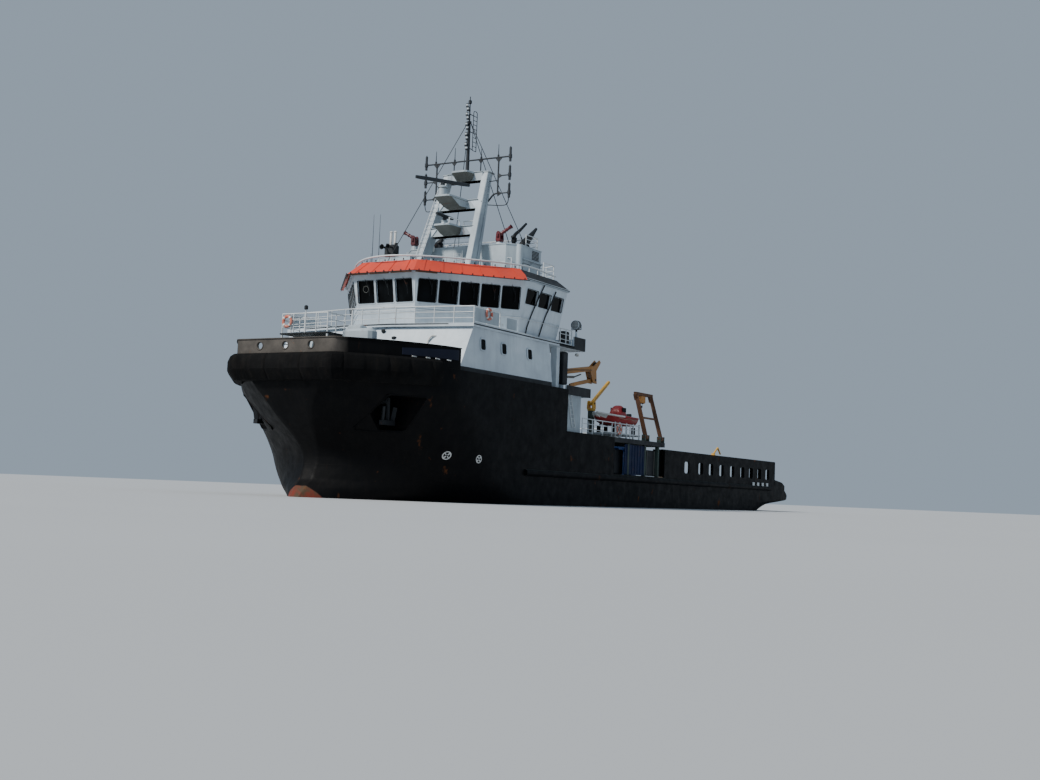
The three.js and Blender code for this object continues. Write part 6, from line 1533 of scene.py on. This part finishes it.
deckhousePlan = {
    # Side windows: x of their middles, and their size
    "windowXs": (20.7, 18.35, 15.3), "windowLow": 9.05, "windowHigh": 9.75, "windowHalf": 0.29,
    "stripeFoot": 7.62, "stripeTop": 7.89,
    # Cable pipes down the wheelhouse side: x and z
    "pipes": (((13.78, 14.04), (14.45, 12.72), (14.97, 11.37), (15.05, 10.73)),
              ((12.25, 13.82), (12.65, 12.85), (13.05, 12.01), (13.4, 10.67))),
}


def deckhouseFace(x, z, side, lift):
    # The side wall leans in, 7.3 at its foot and 6.95 at its head, and narrows a little towards its foot forward
    taper = 0.2 * np.clip((x - 12.7) / 10.6, 0, 1) * np.clip((10.36 - z) / 2.76, 0, 1)
    return (x, side * (7.3 - 0.127 * (z - 7.6) - taper + lift), z)


def makeDeckhouseTrim():
    c = deckhousePlan
    rims, panes, dark, pale = [], [], [], []
    for side in (1, -1):
        for x in c["windowXs"]:
            loop = cutCorners(x - c["windowHalf"], x + c["windowHalf"], c["windowLow"], c["windowHigh"], 0.1)
            rims.append(sweep(path(*[deckhouseFace(*p, side, 0.02) for p in loop]), boxOutline(0.07, 0.06), True,
                              (0, side, 0)))
            back = path(*[deckhouseFace(*p, side, 0.004) for p in loop])
            panes.append(gridSurface(np.stack([back, back + (0, side * 0.012, 0)])))
        # Black stripe along the wall's foot, and cable pipes down the wheelhouse
        foot, head = (path(deckhouseFace(12.75, z, side, 0.012), deckhouseFace(x, z, side, 0.012))
                      for x, z in ((23.2, c["stripeFoot"]), (23.15, c["stripeTop"])))
        dark.append(gridSurface(np.stack([foot, head, head - (0, side * 0.03, 0), foot - (0, side * 0.03, 0)], 1)))
        for run in c["pipes"]:
            points = [(x, side * (6.45 + 0.17 * (z - 10.56) + 0.06), z) for x, z in run]
            dark.append(sweep(smoothPath(points, 16), ringOutline(0.04, 8)))
        # A lamp, two vents and a bent pipe on the front, all within its raked face
        lamp = [(0, 0.05), (0.03, 0.13), (0.12, 0.13), (0.16, 0.08)]
        dark.append(revolve((22.78, side * 1.25, 10.12), (1, 0, -0.2), lamp, 18))
        vent = [(0, 0.08), (0.14, 0.08), (0.16, 0.16), (0.26, 0.16), (0.3, 0.06)]
        dark += [revolve((x, side * y, z), (0, 0, 1), vent, 18) for x, y, z in ((22.95, 2.15, 9.45), (22.4, 2.5, 10.2))]
        bend = [(22.74, side * 4.48, 9.0), (22.76, side * 4.48, 9.4), (22.62, side * 4.6, 9.72), (22.42, side * 4.81, 9.76)]
        pale.append(sweep(smoothPath(bend, 16), ringOutline(0.06, 10)))
        # Trunk, locker and lamps by the wing
        dark.append(blocks((10.1, side * 6.62, 7.95), (10.75, side * 6.95, 10.1), 0.04))
        dark.append(blocks((9.85, side * 6.4, 10.58), (10.55, side * 6.85, 11.5), 0.05))
        lamp = [(0, 0.06), (0.04, 0.13), (0.16, 0.15), (0.18, 0.12)]
        pale += [revolve((x, side * 6.8, 10.2), (0.3, 0, -1), lamp, 18) for x in (10.16, 8.62)]
        # The wing's after end is black, and so is its deck edge
        dark.append(blocks((8.08, side * 7.101, 10.36), (9.62, side * 7.118, 11.22), 0.004))
        dark.append(blocks((8.078, side * 4.62, 10.36), (8.097, side * 7.11, 11.22), 0.004))
        dark.append(blocks((9.62, side * 7.101, 10.36), (11.6, side * 7.115, 10.56), 0.004))
        # Black line along the deck's edge, just under its top
        edge = path((8.15, side * 7.105, 10.5), (21.88, side * 7.105, 10.5), (22.86, side * 1.9, 10.5))
        dark.append(sweep(edge, boxOutline(0.02, 0.07, 0.006)))
    dark.append(beams((22.86, -1.9, 10.5), (22.86, 1.9, 10.5), 0.02, 0.07, 0.006))
    makePiece("deckhouseTrim", {"houseWhite": rims, "windowGlass": panes, "darkSteel": dark, "boatWhite": pale})


makeDeckhouseTrim()

buoyPlan = {
    # Each lifebuoy's middle, and the way it faces
    "places": [((20.2, 7.06, 11.28), (0, 1, 0)), ((20.2, -7.06, 11.28), (0, 1, 0)), ((29.02, -0.95, 9.95), (1, 0, 0)),
               ((3.0, 7.3, 5.45), (0, 1, 0)), ((3.0, -7.3, 5.45), (0, 1, 0))],
    "ring": 0.29, "bandTurns": np.arange(4) * math.pi / 2 + math.pi / 4,
}


def makeLifebuoys():
    # Orange rings with four white bands, some on grey boards on the bridge rail
    c = buoyPlan
    rings, bands, panels = [], [], []
    for place, facing in c["places"]:
        rings.append(revolve(place, facing, ovalSection(0.07, 0.085, c["ring"], 13), 32, True))
        turn = c["bandTurns"][:, None]
        spoke = np.cross((0, 0, 1.0), facing) * np.cos(turn) + np.array([0, 0, 1.0]) * np.sin(turn)
        along = np.cross(facing, spoke) * 0.05
        bands.append(rods(place + spoke * c["ring"] - along, place + spoke * c["ring"] + along, 0.095, 12))
    for side in (1, -1):
        panels.append(blocks((19.0, side * 6.99, 10.7), (21.65, side * 7.01, 11.5), 0.008))
        panels.append(blocks((16.9, side * 6.985, 10.68), (18.1, side * 7.005, 11.35), 0.008))
    makePiece("lifebuoys", {"lifebuoyOrange": rings, "boatWhite": bands, "mastGrey": panels})


makeLifebuoys()
print("deckhouse fittings made")

bowPlan = {
    "boardFrom": 23.7, "boardTo": 27.3, "boardLow": 8.12, "dashXs": (24.3, 25.1, 25.7, 26.5),
    # Thruster marks on the side: x and z of each, and their radius
    "marks": ((23.3, 2.7), (21.1, 2.6)), "markRadius": 0.24,
    "bollards": ((26.6, 4.9), (27.15, 4.9), (24.0, 6.1), (24.55, 6.1)),
}


def onHull(x, z, side, lift):
    # A point on the hull's side at a station and height, lifted off it
    ring = waterline([z])[0]
    port = ring[:len(ring) // 2]
    return (x, side * (float(np.interp(x, port[:, 0], port[:, 1])) + lift), z)


def makeBowTrim():
    c = bowPlan
    boards, marks, rims, bollards = [], [], [], []
    r = c["markRadius"]
    for side in (1, -1):
        # The blank name board follows the bulwark, with worn white dashes under it
        x, y, _ = deckEdge(c["boardFrom"], c["boardTo"]).T
        high = np.interp(x, (c["boardFrom"], c["boardTo"]), (8.72, 8.5))
        section = ((0.012, c["boardLow"]), (0.04, c["boardLow"]), (0.04, high), (0.012, high))
        rows = [spread(x, side * (y + lift), z) for lift, z in section]
        boards.append(gridSurface(np.stack(rows, 1)))
        for dash in c["dashXs"]:
            at = float(np.interp(dash, x, y))
            marks.append(blocks((dash, side * (at + 0.015), 8.02), (dash + 0.42, side * (at - 0.02), 8.09), 0.008))
        # Thruster marks: a ring with a cross of four blades, painted on the side
        for x, z in c["marks"]:
            turn = np.linspace(0, 2 * np.pi, 33)[:-1]
            rows = [[onHull(x + radius * math.cos(a), z + radius * math.sin(a), side, lift) for a in turn]
                    for radius, lift in ((r, 0.004), (r, 0.014), (r - 0.05, 0.014), (r - 0.05, 0.004))]
            marks.append(gridSurface(np.array(rows).transpose(1, 0, 2), wrapRows=True))
            for a in np.array((0.25, 0.75, 1.25, 1.75)) * math.pi:
                p, q = (onHull(x + d * math.cos(a), z + d * math.sin(a), side, 0.008) for d in (0.05, r - 0.06))
                marks.append(beams(p, q, 0.012, 0.08, 0.004))
        # Rim round the anchor's recess, and the hawse pipe's boss inside it
        rim = path(*[onHull(x, z, side, 0.02) for x, z in np.roll(anchorPocket, 1, 0)])
        rims.append(sweep(rim, boxOutline(0.14, 0.06, 0.02), True, (0, side, 0)))
        boss = [(0, 0.2), (0.02, 0.34), (0.16, 0.34), (0.2, 0.24), (0.1, 0.18)]
        rims.append(revolve((26.6, side * 4.1, 5.5), (0, side, -0.3), boss, 28))
    # Lamp post on the lookout and a flagpole behind it; a housing and a hatch by the windlass
    posts = [rods((28.92, 0.31, 9.3), (28.92, 0.31, 10.7), 0.035, 10), rods((24.3, 0, 7.61), (24.3, 0, 11.2), 0.06, 12)]
    bollards.append(revolve((28.92, 0.31, 10.6), (0, 0, 1), [(0, 0.09), (0.03, 0.11), (0.2, 0.11), (0.25, 0.05)], 16))
    lumps = [blocks((27.15, 2.1, 7.62), (27.95, 4.2, 9.6), 0.2), blocks((27.2, 2.4, 9.5), (27.8, 3.4, 9.78), 0.1),
             blocks((24.5, -3.6, 7.61), (25.0, -2.9, 7.95), 0.05), blocks((24.45, -3.65, 7.95), (25.05, -2.85, 8.0))]
    bitt = [(0, 0.2), (0.03, 0.2), (0.04, 0.13), (0.6, 0.13), (0.63, 0.17), (0.7, 0.17), (0.73, 0.1)]
    bollards += [revolve((x, side * y, 7.605), (0, 0, 1), bitt, 20) for side in (1, -1) for x, y in c["bollards"]]
    makePiece("bowFittings", {"boardNavy": boards, "boatWhite": marks, "hullPaint": rims, "railWhite": posts,
                              "mastGrey": lumps, "darkSteel": bollards})


makeBowTrim()
print("bow fittings made")

afterPlan = {
    "blockXs": np.array((-22.9, -24.0, -25.1, -26.2)), "screenRibs": np.arange(-1.2, 1.8, 0.45),
    "plateRibs": np.array((-4.0, -3.45, -2.2)), "coils": ((6.8, -4.9), (6.4, 1.4)),
}


def makeAfterTrim():
    c = afterPlan
    white, dark, rope, orange, blue, ribs = [], [], [], [], [], []
    for side in (1, -1):
        # Ladder on the after house's side, and a vent on its platform
        rungs, y = np.arange(5.2, 7.5, 0.28), side * 7.16
        x = 9.2 + (rungs - 5.2) * 0.35
        white.append(rods(spread(x, y, rungs), spread(x + 0.42, y, rungs), 0.018, 6))
        white.append(rods([(9.2, y, 5.2), (9.62, y, 5.2)], [(10.0, y, 7.5), (10.42, y, 7.5)], 0.03, 8))
        vent = [(0, 0.14), (0.5, 0.14), (0.52, 0.24), (0.7, 0.24), (0.76, 0.1)]
        white.append(revolve((10.2, side * 6.2, 7.61), (0, 0, 1), vent, 20))
        # The platform has a rail on the side away from the davit
        if side < 0:
            white += railing([(7.6, -2.6), (7.6, -7.2), (10.6, -7.2)], 7.61, 1.05, 3, 1.1)
        # Light blocks along the rubbing strake near the stern, and a pale edge on the cargo rail's top
        white.append(blocks(spread(c["blockXs"], side * 7.47, 2.05), spread(c["blockXs"] + 0.42, side * 7.55, 2.45)))
        white.append(sweep(path((-28.0, side * 7.1, 4.41), (-4.6, side * 7.1, 4.41)), boxOutline(0.08, 0.025, 0.006)))
        # The after platform's edge is black
        dark.append(blocks((7.47, side * 7.302, 7.28), (10.78, side * 7.325, 7.89), 0.006))
        dark.append(blocks((7.475, side * 2.0, 7.3), (7.497, side * 7.3, 7.62), 0.006))
    # Lockers and hose reels under the boat deck
    reel = [(0, 0.1), (0.0, 0.5), (0.05, 0.5), (0.08, 0.3), (0.4, 0.3), (0.43, 0.5), (0.48, 0.5), (0.5, 0.1)]
    for side in (1, -1):
        dark.append(blocks((1.2, side * 6.1, 2.32), (2.6, side * 6.8, 4.1), 0.06))
        orange.append(revolve((-0.6, side * 6.2, 3.4), (0, side, 0), reel, 28))
        dark.append(beams((-0.6, side * 6.45, 2.32), (-0.6, side * 6.45, 3.35), 0.12, 0.3))
    # The boat deck's edge is black; a very dark blue screen and ribbed dark plates close the side under it, sheets that
    # put painted shade into the space under the deck
    for side in (1, -1):
        dark.append(blocks((-4.465, side * 7.401, 4.545), (4.3, side * 7.417, 4.872), 0.006))
        blue.append(blocks((-1.45, side * 7.14, 2.34), (1.75, side * 7.2, 4.5), 0.015))
        blue.append(beams(spread(c["screenRibs"], side * 7.21, 2.4), spread(c["screenRibs"], side * 7.21, 4.45), 0.05, 0.04,
                          0.01))
        dark.append(blocks((-5.3, side * 6.96, 2.34), (-1.5, side * 7.0, 4.25), 0.012))
        ribs.append(beams(spread(c["plateRibs"], side * 7.03, 2.4), spread(c["plateRibs"], side * 7.03, 4.2), 0.07, 0.06))
    dark.append(blocks((-4.468, -7.4, 4.545), (-4.452, 7.4, 4.872), 0.006))
    # Coils of mooring rope on the boat deck
    rope = [revolve((x, y, 4.88 + 0.1 * i), (0, 0, 1), ovalSection(0.05, 0.055, 0.42 - 0.03 * i, 9), 28, True)
            for x, y in c["coils"] for i in range(4)]
    # A raised rim round the after house's door, and a light over it
    door = path((8.37, 1.12, 5.02), (8.37, 2.08, 5.02), (8.37, 2.08, 7.1), (8.37, 1.12, 7.1))
    white.append(sweep(door, boxOutline(0.05, 0.06, 0.01), True, (-1, 0, 0)))
    white.append(revolve((8.38, 1.6, 7.28), (-1, 0, 0), [(0, 0.05), (0.03, 0.12), (0.14, 0.1), (0.18, 0.04)], 16))
    makePiece("afterFittings", {"railWhite": white, "darkSteel": dark, "ropeTan": rope, "davitOrange": orange,
                                "shadedScreenBlue": blue, "mastShadeAndDarkGrey": ribs})


makeAfterTrim()
print("after fittings made")

# Camera, floor and light

cameraPlan = {"place": (8.691, 4.953, 0.072), "heading": 0.54153, "rise": 0.07701, "roll": 0.03960, "lens": 46.19}


def makeCamera():
    c = cameraPlan
    sinH, cosH = math.sin(c["heading"]), math.cos(c["heading"])
    level0, ahead0, up0 = Vector((-sinH, cosH, 0)), Vector((-cosH, -sinH, 0)), Vector((0, 0, 1))
    ahead = ahead0 * math.cos(c["rise"]) + up0 * math.sin(c["rise"])
    up = up0 * math.cos(c["rise"]) - ahead0 * math.sin(c["rise"])
    right = level0 * math.cos(c["roll"]) + up * math.sin(c["roll"])
    top = up * math.cos(c["roll"]) - level0 * math.sin(c["roll"])
    camera = bpy.data.cameras.new("photoCamera")
    camera.lens, camera.sensor_width, camera.sensor_fit = c["lens"], 36, "HORIZONTAL"
    camera.clip_start, camera.clip_end = 0.01, 400
    body = bpy.data.objects.new("photoCamera", camera)
    bpy.context.scene.collection.objects.link(body)
    body.matrix_world = Matrix(((right.x, top.x, -ahead.x, c["place"][0]), (right.y, top.y, -ahead.y, c["place"][1]),
                                (right.z, top.z, -ahead.z, c["place"][2]), (0, 0, 0, 1)))
    bpy.context.scene.camera = body


makeCamera()

studioPlan = {"floorHalf": 60.0, "floorTone": (0.46, 0.48, 0.5), "sky": (0.6, 0.74, 0.9), "skyStrength": 0.5,
              "sunDirection": (-0.62, 0.28, -0.6), "sunStrength": 4.3, "sunAngle": 10, "sunTone": (1.0, 0.96, 0.9)}


def makeStudio():
    c = studioPlan
    half = c["floorHalf"]
    bench = nodeBench("floorPaper")
    colour = bench.blend(bench.spots(bench.place(), 0.6, 3.0, 0.2, 0.8), c["floorTone"],
                         tuple(0.96 * v for v in c["floorTone"]))
    bench.close(bench.make("BsdfPrincipled", {"Base Color": colour, "Roughness": 0.9}))
    mesh = bpy.data.meshes.new("studioFloor")
    mesh.from_pydata([(-half, -half, 0), (half, -half, 0), (half, half, 0), (-half, half, 0)], [], [(0, 1, 2, 3)])
    mesh.materials.append(bench.material)
    floor = bpy.data.objects.new("studioFloor", mesh)
    bpy.context.scene.collection.objects.link(floor)
    sun = bpy.data.lights.new("softKey", "SUN")
    sun.energy, sun.angle, sun.color = c["sunStrength"], math.radians(c["sunAngle"]), c["sunTone"]
    lamp = bpy.data.objects.new("softKey", sun)
    lamp.rotation_euler = Vector(c["sunDirection"]).to_track_quat("-Z", "Y").to_euler()
    bpy.context.scene.collection.objects.link(lamp)
    world = bpy.data.worlds.new("studioSky")
    world.use_nodes = True
    world.node_tree.nodes["Background"].inputs[0].default_value = (*c["sky"], 1)
    world.node_tree.nodes["Background"].inputs[1].default_value = c["skyStrength"]
    bpy.context.scene.world = world


makeStudio()
print("camera, floor and light set")
